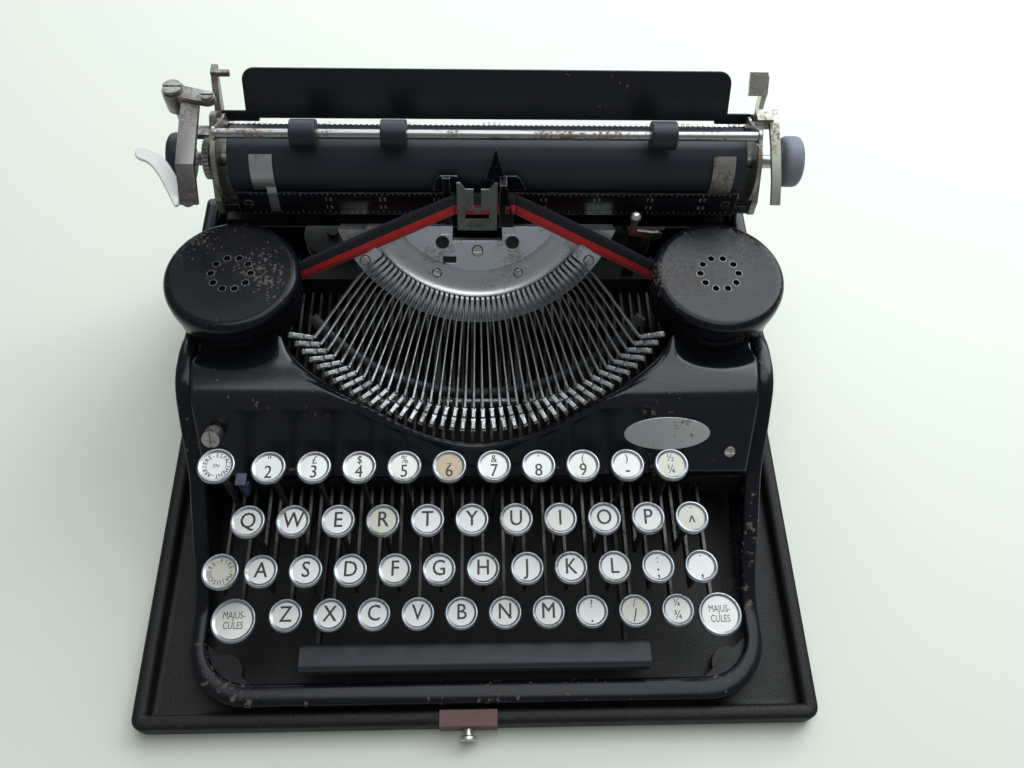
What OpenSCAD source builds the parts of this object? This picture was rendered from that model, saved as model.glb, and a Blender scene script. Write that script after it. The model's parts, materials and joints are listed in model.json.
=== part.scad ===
// Portable typewriter on its carrying-case base board.
// Millimetres. X to the typist's right, Y to the back, Z up.
// The origin lies under the middle of the board, and the typing point is on X = 0.

/* [Base board] */
// Width of the base board
board_w = 308; // [300:1:330]
// Board in front of the machine's frame
board_margin = 8.5; // [8:0.5:20]
// Thickness of the board's floor
board_floor = 4; // [3:0.5:6]
// Height of the rim above the table
board_rim_h = 11; // [9:0.5:14]
// Width of the rim
board_rim_w = 7; // [5:0.5:9]
// Corner radius of the board
board_r = 6; // [3:0.5:9]
// Height of the rubber feet between board and machine
foot_h = 5; // [4:0.5:8]
// Radius of a rubber foot
foot_r = 8; // [6:0.5:10]

/* [Latch] */
// Centre of the latch along X
latch_x = -5; // [-20:1:20]
// Width of the latch plate
latch_w = 26; // [20:1:34]
// Thickness of the latch plate
latch_t = 0.8; // [0.6:0.1:1.2]
// Radius of the push button's shaft
button_r = 2.2; // [1.8:0.1:2.8]
// Radius of the push button's head
button_head_r = 3.8; // [3.2:0.1:4.6]
// Travel of the push button
button_travel = 3; // [2:0.5:4]

/* [Frame] */
// Half width of the frame at the keyboard
frame_half_front = 131.5; // [129:0.5:134]
// Half width of the frame at the spool cups
frame_half_rear = 137.5; // [135:0.5:140]
// Front face of the frame
frame_front_y = -141.5; // [-143:0.5:-140]
// Rear face of the frame
frame_rear_y = 112; // [111:0.5:120]
// Thickness of the frame's walls
frame_wall = 7.5; // [6:0.5:8]
// Depth of the front rail
front_rail = 10; // [8.5:0.5:11]
// Outer corner radius of the frame
frame_r = 28; // [20:1:32]
// Top of the front rail
rail_top = 16; // [14:0.5:19]
// Top of the frame beside the cups
frame_top = 78; // [77:0.5:79]
// Top of the rear wall
rear_wall_top = 60; // [56:1:64]

/* [Cover] */
// Thickness of the pressed cover
cover_t = 1.6; // [1.2:0.1:2.2]
// Bottom edge of the cover, Y
cover_low_y = -46; // [-47:0.5:-45]
// Bottom edge of the cover, Z
cover_low_z = 46; // [44:0.5:48]
// Shoulder of the cover, Y
cover_high_y = -20; // [-22:0.5:-18]
// Top of the cover
cover_top = 80; // [79.5:0.5:82]
// Rear edge of the cover
cover_rear_y = 50; // [46:1:54]
// Radius of the basket cut-out seen from above
basket_r = 120; // [119.5:0.5:122]
// Centre of the basket cut-out, Y
basket_y = 87.4; // [86.5:0.1:88]
// Half length of the blank oval plate
oval_a = 20; // [15:0.5:24]
// Half height of the blank oval plate
oval_b = 8.2; // [6:0.2:10]

/* [Spool cups] */
// Distance of a spool axis from the middle
cup_x = 113; // [112:0.5:114]
// Spool axis, Y
cup_y = 34.2; // [33:0.2:35]
// Outer radius of a lid
lid_r = 31; // [30:0.2:31.5]
// Top of the lids
lid_top = 97; // [96:0.5:97.5]
// Underside of the cups
cup_bottom = 75; // [73:0.5:76]
// Wall of a cup and of a lid
cup_wall = 1.2; // [1:0.1:1.5]
// Number of round vents in a lid
lid_vents = 10; // [6:1:14]
// Radius of a spool's flanges
spool_r = 23; // [20:0.5:25]
// Radius of the wound ribbon
roll_r = 18; // [12:0.5:19.5]
// Width of the ribbon
ribbon_w = 13; // [12:0.2:13.4]

/* [Type action] */
// Typing point and centre of the segment, Y
seg_y = 73; // [72.8:0.1:73.2]
// Typing point and centre of the segment, Z
seg_z = 115.5; // [115.2:0.1:115.8]
// Angle of the segment's face from level
seg_tilt = 55; // [54.5:0.1:55.5]
// Outer radius of the segment
seg_r = 70; // [69:0.2:71.5]
// Length of the segment's slots, from its rim inwards
slot_len = 11.8; // [11:0.2:12.6]
// Thickness of the segment
seg_t = 11; // [10:0.5:12]
// Edge of the hub plate, from the segment's rim inwards
hub_in = 25; // [23:0.5:27]
// Fulcrum wire, from the segment's rim inwards
fulcrum_in = 5.9; // [5.6:0.1:6.3]
// Radius of the fulcrum wire
fulcrum_wire_r = 0.8; // [0.6:0.05:0.9]
// Angle between neighbouring typebars
bar_pitch = 2.517; // [2.5:0.005:2.53]
// Number of typebars
bar_count = 42; // [36:2:42]
// Thickness of a typebar
bar_t = 0.8; // [0.7:0.05:0.9]
// Width of a segment slot
slot_w = 1.2; // [1.1:0.05:1.4]
// How much shorter a typebar's arm is than the fulcrum's radius
bar_short = 2.3; // [2.1:0.1:2.6]
// Rest angle of a typebar above the segment's plane
bar_rest = 63.3; // [62.5:0.1:64]
// Length of a slug
slug_len = 11; // [9:0.2:11.4]
// Width of a slug
slug_w = 2.3; // [2:0.05:2.35]

/* [Keyboard] */
// Pitch of the keys along a row
key_pitch = 19.05; // [18.6:0.05:19.2]
// First key of the Q row, X
key_x0 = -98.2; // [-98.6:0.1:-97.8]
// Outer radius of a key's ring
key_r = 7.4; // [6.8:0.1:7.6]
// Height of a key's head
key_h = 3.6; // [3:0.1:4.2]
// Number row, Y
row1_y = -57; // [-57.5:0.1:-56.5]
// Number row, top of the keys
row1_z = 83.5; // [82:0.5:85]
// Q row, Y
row2_y = -75.5; // [-76.2:0.1:-75]
// Q row, top of the keys
row2_z = 69; // [68:0.5:70]
// Home row, Y
row3_y = -93; // [-93.4:0.1:-92.6]
// Home row, top of the keys
row3_z = 56; // [55:0.5:57]
// Bottom row, Y
row4_y = -108.5; // [-109:0.1:-108.2]
// Bottom row, top of the keys
row4_z = 42.5; // [41.5:0.5:43.5]
// Distance of the shift keys from the middle
shift_x = 106; // [105.6:0.1:106.4]
// Shift keys, Y
shift_y = -110.5; // [-111:0.1:-110]
// Radius of a shift key
shift_key_r = 9.7; // [9:0.1:9.9]
// Backspace and shift lock keys, X
side_key_x = -110.6; // [-110.8:0.1:-110.4]
// Radius of the backspace and shift lock keys
side_key_r = 8; // [7:0.1:8.4]
// Thickness of a key lever
lever_t = 1.4; // [1.2:0.05:1.5]
// Height of a key lever
lever_h = 6; // [5:0.2:6.4]
// Underside of the key levers
lever_z = 27; // [26.5:0.1:27.5]
// Lever pivot rod, Y
lever_rod_y = 95; // [94:0.5:96]
// Lever pivot rod, Z
lever_rod_z = 26; // [25.6:0.1:26.4]
// Radius of the lever pivot rod
lever_rod_r = 2.5; // [2:0.1:3]
// Length of the space bar
space_w = 156; // [140:1:160]
// Depth of the space bar
space_d = 12; // [10:0.5:13]
// Height of the space bar
space_h = 8; // [6:0.5:9]
// Top of the space bar
space_top = 27; // [26:0.5:28]
// Front face of the space bar
space_y = -129; // [-130:0.5:-128]
// Offset of the space bar along X
space_x = -1.4; // [-2:0.1:2]

/* [Carriage] */
// Middle of the carriage along X in the stored pose
car_x = 5.8; // [4:0.2:7]
// Platen axis, Y
platen_y = 88.5; // [88.3:0.1:88.8]
// Platen axis, Z
platen_z = 113.5; // [113.2:0.1:113.8]
// Radius of the platen
platen_r = 15.9; // [15.5:0.1:16]
// Half length of the platen
platen_half = 119.8; // [117:0.2:120.4]
// Radius of the platen shaft
shaft_r = 3.2; // [2.8:0.1:3.6]
// Inner face of the carriage ends, from the carriage middle
end_in = 125.5; // [125:0.1:126]
// Thickness of the carriage ends
end_t = 3; // [2.5:0.1:3.5]
// Radius of the platen knobs
knob_r = 12; // [11:0.2:13]
// Thickness of the platen knobs
knob_t = 9.5; // [8:0.5:11]
// Inner face of the platen knobs, from the carriage middle
knob_in = 139.5; // [139:0.5:141]
// Half length of the paper table
table_half = 114.5; // [112:0.5:117]
// Height of the paper table along its slope
table_h = 23; // [20:0.5:25]
// Thickness of the paper table
table_t = 1.5; // [1.2:0.1:1.8]
// Radius of the paper bail rod
bail_r = 2.2; // [1.8:0.1:2.5]
// Radius of the bail rollers
bail_roller_r = 6.5; // [6:0.1:6.6]
// Height of the front scale
scale_h = 13; // [11:0.2:13.4]
// Thickness of the front scale
scale_t = 0.8; // [0.6:0.05:1]
// Lift of the carriage for capitals
shift_lift = 6.2; // [5:0.1:7]

/* [Fits] */
// Radial clearance of a shaft in its bore
run_fit = 0.05; // [0.02:0.01:0.09]
// Gap between sliding or facing pieces
gap = 0.3; // [0.25:0.05:0.4]

/* [Hidden] */
$fn = 48;
eps = 0.01;

board_d = 2 * (board_margin - frame_front_y);
slot_in_r = seg_r - slot_len;
slot_out_r = seg_r - 2.2;
hub_r = seg_r - hub_in;
fulcrum_r = seg_r - fulcrum_in;
bar_len = fulcrum_r - bar_short;
frame_z = board_floor + foot_h;
frame_flare_y0 = -80;
frame_flare_y1 = -5;
slope_dy = cover_high_y - cover_low_y;
slope_dz = cover_top - cover_low_z;
slope_len = sqrt(slope_dy * slope_dy + slope_dz * slope_dz);
slope_angle = atan2(slope_dz, slope_dy);
quarter = key_pitch / 4;
lever_top = lever_z + lever_h;
cup_r = lid_r - cup_wall - gap;
cup_floor = 1.5;
spool_z = cup_bottom + cup_floor + gap;
spool_t = 1;
fulcrum_z = -3;
hub_z = -6;
seg_cut = -23;
slug_tilt = 21;
home_centre = 5;
space_rod_y = -30;
space_rod_z = 13;
space_rod_r = 2.5;
shift_rod_y = 10;
shift_rod_z = 17;
shift_rod_r = 2.5;
leg_y = 80;
leg_d = 8;
leg_x = 117;
leg_w = 8;
rail_y = 93;
rail_d = 8;
rail_z = 80;
rail_h = 6;
bed_y = 88;
bed_d = 18;
bed_top = 92;
table_y = 105.3;
table_z = 123;
table_slope = 60;
bail_y = 81.5;
bail_z = 136.8;
bail_pivot_y = 98;
bail_pivot_z = 128;
roller_y = 79.8;
roller_z = 94.7;
roller_shaft_r = 1.5;
scale_y = 69.9;
scale_z = 96.5;
scale_lean = 7.5;
vib_y = 65;
vib_z = 90;
vib_h = 31;
vib_t = 0.8;
vib_lean = 4;
drum_x = -75;
drum_y = 86;
drum_r = 15;
tab_x = -107.3;
tab_y = -30;
tab_z = 41;
tab_t = 1.6;
margin_y = 60;
margin_x0 = 72;
margin_x1 = 90;
margin_pin_x = 86;
margin_pin_z = 94;
release_y = 103;
release_z = 117;
bell_x = 78;

function half_at(y) = y <= frame_flare_y0 ? frame_half_front
    : y >= frame_flare_y1 ? frame_half_rear
    : frame_half_front + (frame_half_rear - frame_half_front) * (y - frame_flare_y0)
        / (frame_flare_y1 - frame_flare_y0);
function inner_at(y) = half_at(y) - frame_wall;

enamel = [0.06, 0.06, 0.07];
steel = [0.7, 0.71, 0.72];
nickel = [0.8, 0.8, 0.78];
rubber = [0.09, 0.09, 0.1];

// Turns a drawing in Y and Z into a plate that is t thick along X, centred on x
module side_plate(x, t) {
    translate([x, 0, 0]) rotate([90, 0, 90]) linear_extrude(t, center = true) children();
}

// A round bar along X from x0 to x1
module x_bar(x0, x1, y, z, r) {
    translate([x0, y, z]) rotate([0, 90, 0]) cylinder(h = x1 - x0, r = r);
}

module both_sides() {
    children();
    mirror([1, 0, 0]) children();
}

module rounded_slab(w, d, h, r) {
    union() {
        translate([-w / 2 + r, -d / 2, 0]) cube([w - 2 * r, d, h]);
        translate([-w / 2, -d / 2 + r, 0]) cube([w, d - 2 * r, h]);
        for (sx = [-1, 1], sy = [-1, 1])
            translate([sx * (w / 2 - r), sy * (d / 2 - r), 0]) cylinder(h = h, r = r);
    }
}

// Coordinates of the segment: X as before, Y up its face, Z out of its face
module on_segment() {
    translate([0, seg_y, seg_z]) rotate([seg_tilt, 0, 0]) children();
}

// Coordinates of the cover's front slope: Y up the slope, Z out of it
module on_slope(x, along) {
    translate([x, cover_low_y, cover_low_z]) rotate([slope_angle, 0, 0]) translate([0, along, 0])
        children();
}

module slotted_head(r, h) {
    difference() {
        cylinder(h = h, r = r);
        translate([-r - 1, -0.5, h - min(0.8, 0.6 * h)]) cube([2 * r + 2, 1, 1]);
    }
}

// Base board and latch

module base_board() {
    color([0.13, 0.11, 0.10])
    difference() {
        rounded_slab(board_w, board_d, board_rim_h, board_r);
        translate([0, 0, board_floor])
            rounded_slab(board_w - 2 * board_rim_w, board_d - 2 * board_rim_w, board_rim_h, board_r);
        translate([latch_x, -board_d / 2 - 1, board_rim_h / 2]) rotate([-90, 0, 0])
            cylinder(h = board_rim_w - 0.5, r = button_r + run_fit);
    }
}

module latch_plate() {
    color([0.36, 0.20, 0.14])
    difference() {
        union() {
            translate([latch_x - latch_w / 2, -board_d / 2 - latch_t, 1])
                cube([latch_w, latch_t, board_rim_h + latch_t - 1]);
            translate([latch_x - latch_w / 2, -board_d / 2, board_rim_h])
                cube([latch_w, board_rim_w - 0.5, latch_t]);
        }
        translate([latch_x, -board_d / 2 - 2, board_rim_h / 2]) rotate([-90, 0, 0])
            cylinder(h = 4, r = button_r + run_fit);
    }
}

module latch_button() {
    head_y = -board_d / 2 - latch_t - button_travel - gap;
    color(steel)
    translate([latch_x, head_y, board_rim_h / 2]) rotate([-90, 0, 0]) {
        translate([0, 0, -2]) cylinder(h = 2, r = button_head_r);
        cylinder(h = button_travel + 3.5, r = button_r);
    }
}

module rubber_feet() {
    color(rubber)
    for (sx = [-1, 1], fy = [foot_front_y, foot_rear_y])
        translate([sx * foot_x, fy, board_floor]) cylinder(h = foot_h, r = foot_r);
}
foot_x = frame_half_front - frame_wall - 8;
foot_front_y = frame_front_y + 16.5;
foot_rear_y = frame_rear_y - frame_wall - 9;

// Frame

module plan_outline(inset, front_inset) {
    front = frame_front_y + front_inset;
    rear = frame_rear_y - inset;
    r = frame_r - inset;
    hf = frame_half_front - inset;
    hr = frame_half_rear - inset;
    polygon([
        [-hf + r, front], [hf - r, front], [hf, front + r], [hf, frame_flare_y0],
        [hr, frame_flare_y1], [hr, rear], [-hr, rear], [-hr, frame_flare_y1],
        [-hf, frame_flare_y0], [-hf, front + r]
    ]);
    translate([hf - r, front + r]) circle(r = r);
    translate([-hf + r, front + r]) circle(r = r);
}

// Side view of the frame: front rail, rise beside the keyboard, shoulder at the cups
module frame_side_view() {
    polygon([
        [frame_front_y - 1, frame_z], [frame_front_y - 1, rail_top], [-98, rail_top],
        [-90, rail_top + 4], [-74, rail_top + 15], [-43, frame_top - 32], [-29, frame_top - 15],
        [-16, frame_top - 2], [-10, frame_top], [frame_rear_y - frame_wall - 8, frame_top],
        [frame_rear_y - frame_wall, rear_wall_top], [frame_rear_y + 1, rear_wall_top],
        [frame_rear_y + 1, frame_z]
    ]);
}

module main_frame() {
    color(enamel)
    difference() {
        union() {
            intersection() {
                translate([0, 0, frame_z]) linear_extrude(frame_top) difference() {
                    plan_outline(0, 0);
                    plan_outline(frame_wall, front_rail);
                }
                side_plate(0, 4 * frame_half_rear) frame_side_view();
            }
            both_sides() for (fy = [foot_front_y, foot_rear_y])
                translate([foot_x, fy, frame_z]) {
                    cylinder(h = 3, r = foot_r + 1);
                    translate([0, -foot_r, 0]) cube([frame_wall + 8 + (fy > 0 ? 2 : -2), 2 * foot_r, 3]);
                }
        }
        both_sides() {
            translate([cup_x, cup_y, cup_bottom]) cylinder(h = 30, r = lid_r + gap);
            x_bar(0, inner_at(lever_rod_y) + 3, lever_rod_y, lever_rod_z, lever_rod_r);
            x_bar(0, inner_at(space_rod_y) + 3, space_rod_y, space_rod_z, space_rod_r);
            x_bar(0, inner_at(shift_rod_y) + 3, shift_rod_y, shift_rod_z, shift_rod_r + run_fit);
        }
        x_bar(-inner_at(tab_y) - 3, 0, tab_y, tab_z, tab_rod_r);
    }
}

module pivot_rods() {
    color(steel) {
        x_bar(-inner_at(lever_rod_y) - 3, inner_at(lever_rod_y) + 3, lever_rod_y, lever_rod_z,
            lever_rod_r);
        x_bar(-inner_at(space_rod_y) - 3, inner_at(space_rod_y) + 3, space_rod_y, space_rod_z,
            space_rod_r);
        x_bar(-inner_at(tab_y) - 3, tab_x + 2, tab_y, tab_z, tab_rod_r);
    }
}
tab_rod_r = 2;

beam_y = 58;
beam_d = 12;
beam_z = 48;
beam_h = 12;
rear_beam_y = 100;
rear_beam_z = 40;
rear_beam_h = 10;

// Cross members that carry the segment, the shift frame's guides, the margin release, the spring
// drum and the bell
module cross_beams() {
    half = inner_at(beam_y);
    color([0.12, 0.12, 0.13])
    difference() {
        union() {
            margin_bracket();
            translate([-half, beam_y, beam_z]) cube([2 * half, beam_d, beam_h]);
            translate([-half, rear_beam_y, rear_beam_z])
                cube([2 * half, frame_rear_y - frame_wall - rear_beam_y, rear_beam_h]);
            for (sx = [-1, 1]) on_segment()
                translate([sx * 30, -50, -28]) cylinder(h = 28 - seg_t, r = 5);
            for (sx = [-1, 1])
                translate([sx > 0 ? leg_x - 3 : -half, leg_y - 4, beam_z])
                    cube([half - leg_x + 3, leg_d + 8, 8]);
            for (px = [drum_x, bell_x])
                translate([px - 8, drum_y - 6, rear_beam_z + rear_beam_h])
                    cube([16, rear_beam_y - drum_y + 10, 3]);
            translate([drum_x, drum_y, rear_beam_z + rear_beam_h]) cylinder(h = 14, r = 3);
            translate([bell_x, drum_y, rear_beam_z + rear_beam_h]) cylinder(h = 16, r = 2.5);
        }
        both_sides() translate([leg_x - gap, leg_y - gap, beam_z - 1])
            cube([leg_w + 2 * gap, leg_d + 2 * gap, 12]);
    }
}

// Cover, oval plate, screws, selector knob

cover_gap = 0.5;

module cover_plan(inset) {
    y0 = cover_low_y - 2;
    e0 = inner_at(cover_low_y) - cover_gap - inset;
    e1 = inner_at(0) - cover_gap - inset;
    polygon([[-e0, y0], [e0, y0], [e1, frame_flare_y1], [e1, cover_rear_y],
        [-e1, cover_rear_y], [-e1, frame_flare_y1]]);
}

module cover_side_view(t) {
    c = cos(slope_angle);
    s = sin(slope_angle);
    polygon([
        [cover_low_y, cover_low_z], [cover_high_y - 3, cover_top - 3 * s / c],
        [cover_high_y + 1, cover_top - 1.2], [cover_high_y + 5, cover_top],
        [cover_rear_y, cover_top], [cover_rear_y, cover_top - t], [cover_high_y + 5, cover_top - t],
        [cover_high_y + 1 + t * s, cover_top - 1.2 - t * c],
        [cover_high_y - 3 + t * s, cover_top - 3 * s / c - t * c],
        [cover_low_y + t * s, cover_low_z - t * c]
    ]);
}

module cup_pan(r, z) {
    translate([cup_x, cup_y, z]) cylinder(h = 40, r = r);
}

module front_cover() {
    pan_r = lid_r + 3;
    color(enamel)
    difference() {
        union() {
            difference() {
                intersection() {
                    side_plate(0, 2 * frame_half_rear) cover_side_view(cover_t);
                    translate([0, 0, 20]) linear_extrude(80) cover_plan(0);
                }
                both_sides() cup_pan(pan_r, cup_bottom);
            }
            intersection() {
                both_sides() difference() {
                    translate([cup_x, cup_y, cup_bottom - cover_t])
                        cylinder(h = cover_top - cup_bottom + cover_t, r = pan_r + cover_t);
                    cup_pan(pan_r, cup_bottom);
                }
                translate([0, 0, 20]) linear_extrude(80) cover_plan(0);
            }
        }
        translate([0, basket_y, 0]) cylinder(h = 120, r = basket_r);
        both_sides() translate([cup_x, cup_y, 0]) cylinder(h = 120, r = lid_r - 8);
        on_slope(selector_x, selector_along) translate([0, 0, -10])
            cylinder(h = 20, r = selector_r + run_fit);
    }
}

module blank_oval() {
    color([0.62, 0.63, 0.62])
    on_slope(87, oval_along) linear_extrude(0.6)
        polygon([for (a = [0:6:354]) [oval_a * cos(a), oval_b * sin(a)]]);
}
oval_along = 0.52 * slope_len;

module slotted_screws() {
    color(steel) {
        for (sx = [-1, 1]) on_slope(sx * 117, 0.3 * slope_len) slotted_head(2.6, 1.4);
        on_segment() {
            for (sx = [-1, 1]) {
                rim_screw_place(sx) slotted_head(2.2, 1);
                rotate([0, 0, sx * 23.3]) translate([0, -(slot_in_r + hub_r) / 2 + 1, hub_z - 1])
                    slotted_head(2, 1);
            }
            translate([0, 10 - hub_r, hub_z]) slotted_head(2.4, 1);
        }
    }
}

module rim_screw_place(sx) {
    rotate([0, 0, sx * 54.9]) translate([0, 4 - seg_r, 0]) children();
}

selector_x = -118.5;
selector_along = 0.58 * slope_len;
selector_r = 1.6;

module selector_knob() {
    color(nickel)
    on_slope(selector_x, selector_along) {
        translate([0, 0, -5]) cylinder(h = 7, r = selector_r);
        translate([0, 0, gap]) cylinder(h = 2, r = 3.2);
        translate([0, 0, 2]) difference() {
            cylinder(h = 7, r = 4);
            translate([-0.5, -5, 6.2]) cube([1, 10, 1]);
        }
    }
}

// Spool cups, lids, spools and ribbon

ribbon_low_z = cup_bottom + cup_floor + gap + spool_t + 0.4;
exit_turn = 16;

module ribbon_exit(r0, r1, z0, z1) {
    rotate([0, 0, exit_turn]) translate([r0, -4, z0]) cube([r1 - r0, 8, z1 - z0]);
}

module cup(side) {
    translate([side * cup_x, cup_y, 0]) mirror([side > 0 ? 1 : 0, 0, 0]) difference() {
        translate([0, 0, cup_bottom]) cylinder(h = lid_top - cup_wall - gap - cup_bottom, r = cup_r);
        translate([0, 0, cup_bottom + cup_floor]) cylinder(h = 40, r = cup_r - cup_wall);
        ribbon_exit(cup_r - 8, cup_r + 4, ribbon_low_z - 0.5, lid_top);
        translate([0, 0, cup_bottom - 1]) cylinder(h = 10, r = 2 + run_fit);
    }
}

module spool_cups() {
    color(enamel) {
        cup(-1);
        cup(1);
    }
}

module lid(side) {
    skirt = 9;
    color(enamel)
    translate([side * cup_x, cup_y, 0]) mirror([side > 0 ? 1 : 0, 0, 0]) difference() {
        translate([0, 0, lid_top - skirt]) {
            cylinder(h = skirt - 2, r = lid_r);
            translate([0, 0, skirt - 2]) cylinder(h = 2, r1 = lid_r, r2 = lid_r - 1.2, $fn = 64);
        }
        translate([0, 0, lid_top - cup_wall - skirt - 1]) cylinder(h = skirt + 1, r = lid_r - cup_wall);
        ribbon_exit(cup_r - 8, lid_r + 4, lid_top - skirt - 1, lid_top - cup_wall - 0.8);
        for (k = [0:lid_vents - 1]) rotate([0, 0, k * 360 / lid_vents])
            translate([9, 0, lid_top - 5]) cylinder(h = 6, r = 1.6);
    }
}

module left_lid() {
    lid(-1);
}

module right_lid() {
    lid(1);
}

module spool(side) {
    core_r = 6;
    color(steel)
    translate([side * cup_x, cup_y, 0]) {
        translate([0, 0, spool_z]) cylinder(h = spool_t, r = spool_r);
        translate([0, 0, spool_z + spool_t + ribbon_w + 0.8]) cylinder(h = spool_t, r = spool_r);
        translate([0, 0, spool_z + spool_t - eps]) cylinder(h = ribbon_w + 0.8 + 2 * eps, r = core_r);
        translate([0, 0, cup_bottom - 0.5]) cylinder(h = spool_z - cup_bottom + 1, r = 2);
    }
}

module left_spool() {
    spool(-1);
}

module right_spool() {
    spool(1);
}

module roll(side) {
    color([0.05, 0.05, 0.06])
    translate([side * cup_x, cup_y, spool_z + spool_t + 0.4]) difference() {
        cylinder(h = ribbon_w, r = roll_r);
        translate([0, 0, -1]) cylinder(h = ribbon_w + 2, r = 6);
    }
}

module left_roll() {
    roll(-1);
}

module right_roll() {
    roll(1);
}

ribbon_t = 0.4;
ribbon_mid_z = 100;
ribbon_mid_y = vib_y + vib_t + gap + (ribbon_mid_z - vib_z) * tan(vib_lean);
ribbon_left_x = -10.6;
ribbon_right_x = 18.2;
ribbon_start_r = roll_r + 6;

// One free stretch of ribbon, from the edge of its cup to the vibrator
module ribbon_stretch(side, end_x) {
    cx = side * (cup_x - ribbon_start_r * cos(exit_turn));
    cy = cup_y + ribbon_start_r * sin(exit_turn);
    hull() {
        translate([cx, cy, ribbon_low_z]) cube([0.2, ribbon_t, ribbon_w]);
        translate([end_x, ribbon_mid_y, ribbon_mid_z]) rotate([-vib_lean, 0, 0])
            cube([0.2, ribbon_t, ribbon_w]);
    }
}

module free_ribbon() {
    color([0.55, 0.08, 0.08]) {
        ribbon_stretch(-1, ribbon_left_x - 0.2 - gap);
        ribbon_stretch(1, ribbon_right_x + gap);
    }
}

module ribbon_centre() {
    color([0.55, 0.08, 0.08])
    translate([ribbon_left_x, ribbon_mid_y, ribbon_mid_z]) rotate([-vib_lean, 0, 0])
        cube([ribbon_right_x - ribbon_left_x, ribbon_t, ribbon_w]);
}

vib_slot = 1.7;

// Vibrator plate with two horns, an open slot for the typebar, a window and two ribbon hooks
module vibrator() {
    color(steel)
    translate([0, vib_y, vib_z]) rotate([-vib_lean, 0, 0]) {
        rotate([90, 0, 0]) translate([0, 0, -vib_t]) linear_extrude(vib_t) difference() {
            polygon([[-9.5, 0], [9.5, 0], [9.5, vib_h], [8, vib_h], [5.5, vib_h - 4],
                [-5.5, vib_h - 4], [-8, vib_h], [-9.5, vib_h]]);
            translate([-vib_slot, 14.9 + vib_slot]) square([2 * vib_slot, vib_h]);
            translate([0, 14.9 + vib_slot]) circle(r = vib_slot);
            polygon([[-5.7, 7.5], [5.7, 7.5], [5.7, 13.5], [1.8, 13.5], [0, 10.4], [-1.8, 13.5],
                [-5.7, 13.5]]);
        }
        for (sx = [-1, 1]) translate([sx > 0 ? 8 : -9.5, vib_t, 8.2]) cube([1.5, 1.6, 1]);
        translate([8, -0.6, 3]) cube([1.5, 0.7, 3]);
    }
}

// Card holder: two posts on the segment carry the two plates in front of the platen
module card_holder() {
    left_y = 68.15;
    right_y = 63.8;
    post_t = 0.5;
    right_t = 0.8;
    plate_y = 69.6;
    plate_t = 0.6;
    low_z = 80;
    top_z = 122;
    color([0.1, 0.1, 0.11])
    difference() {
        union() {
            translate([-16, left_y, low_z]) cube([3.5, post_t, top_z - low_z + 0.8]);
            translate([-16, left_y, top_z]) cube([3.5, plate_y + plate_t - left_y, 0.8]);
            translate([0, right_y + right_t, 0]) rotate([90, 0, 0]) linear_extrude(right_t)
                polygon([[10.4, low_z], [17.4, low_z], [17.4, 99], [13.6, top_z], [13.6, top_z + 0.8],
                    [10.4, top_z + 0.8]]);
            translate([10.4, right_y, top_z]) cube([3.2, plate_y + plate_t - right_y, 0.8]);
            translate([0, plate_y + plate_t, 0]) rotate([90, 0, 0]) linear_extrude(plate_t) {
                polygon([[-20.5, 113.5], [-19, 121], [-17, top_z + 0.8], [-9, top_z + 0.8],
                    [-9, 113.5]]);
                polygon([[9, 113.5], [9, 119.5], [3.6, 121.4], [6, 131], [8.4, 141], [10.6, 131],
                    [12.8, top_z + 0.8], [18, top_z + 0.8], [20, 121], [23, 113.5]]);
            }
        }
        on_segment() translate([-seg_r, seg_cut - 2 * seg_r, -80]) cube([2 * seg_r, 2 * seg_r, 120]);
        translate([13.3, right_y - 1, 104]) cube([1.7, right_t + 2, 5]);
    }
}

// Segment, typebars and their rest

function bar_angle(i) = (i - (bar_count - 1) / 2) * bar_pitch;
centre_bar = bar_count / 2;

module segment() {
    color(steel)
    on_segment() difference() {
        translate([0, 0, -seg_t]) cylinder(h = seg_t, r = seg_r, $fn = 120);
        translate([0, 0, hub_z - 1]) cylinder(h = 20, r = slot_in_r, $fn = 120);
        translate([-seg_r - 1, seg_cut, -seg_t - 1]) cube([2 * seg_r + 2, 2 * seg_r, seg_t + 2]);
        translate([-12, seg_cut - 7, -seg_t - 1]) cube([24, 10, seg_t + 2]);
        for (i = [0:bar_count - 1]) rotate([0, 0, bar_angle(i)]) {
            translate([-slot_w / 2, -slot_out_r, -seg_t + 1.5])
                cube([slot_w, slot_out_r - slot_in_r + 1, seg_t]);
            translate([-slot_w / 2, -seg_r - 1, -seg_t + 1.5])
                cube([slot_w, seg_r - slot_out_r + 2, seg_t - 3.2]);
        }
        rotate_extrude(angle = 360, $fn = 120) translate([fulcrum_r, fulcrum_z])
            circle(r = fulcrum_wire_r, $fn = 24);
        for (sx = [-1, 1]) rim_screw_place(sx) translate([0, 0, -3]) cylinder(h = 4, r = 1);
    }
}

module hub_plate() {
    color(steel)
    on_segment() difference() {
        translate([0, 0, hub_z - 1]) cylinder(h = 1, r = hub_r, $fn = 96);
        translate([-seg_r, seg_cut, -20]) cube([2 * seg_r, 2 * seg_r, 40]);
        translate([-0.4 * hub_r, seg_cut - 4, -20]) cube([0.8 * hub_r, 20, 40]);
        for (sx = [-1, 1]) translate([sx * 17, 3 - (hub_r - seg_cut) / 2, -20])
            cylinder(h = 40, r = 3.3);
        translate([-17, 3.5 - hub_r, -20]) cube([6.6, 3.6, 40]);
        translate([-12, 14.5 - hub_r, -20]) cube([24, 10, 40]);
    }
}

module fulcrum_wire() {
    arc = bar_count * bar_pitch + 6;
    color(steel)
    on_segment() rotate([0, 0, -90 - arc / 2]) rotate_extrude(angle = arc, $fn = 120)
        translate([fulcrum_r, fulcrum_z]) circle(r = fulcrum_wire_r, $fn = 24);
}

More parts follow.
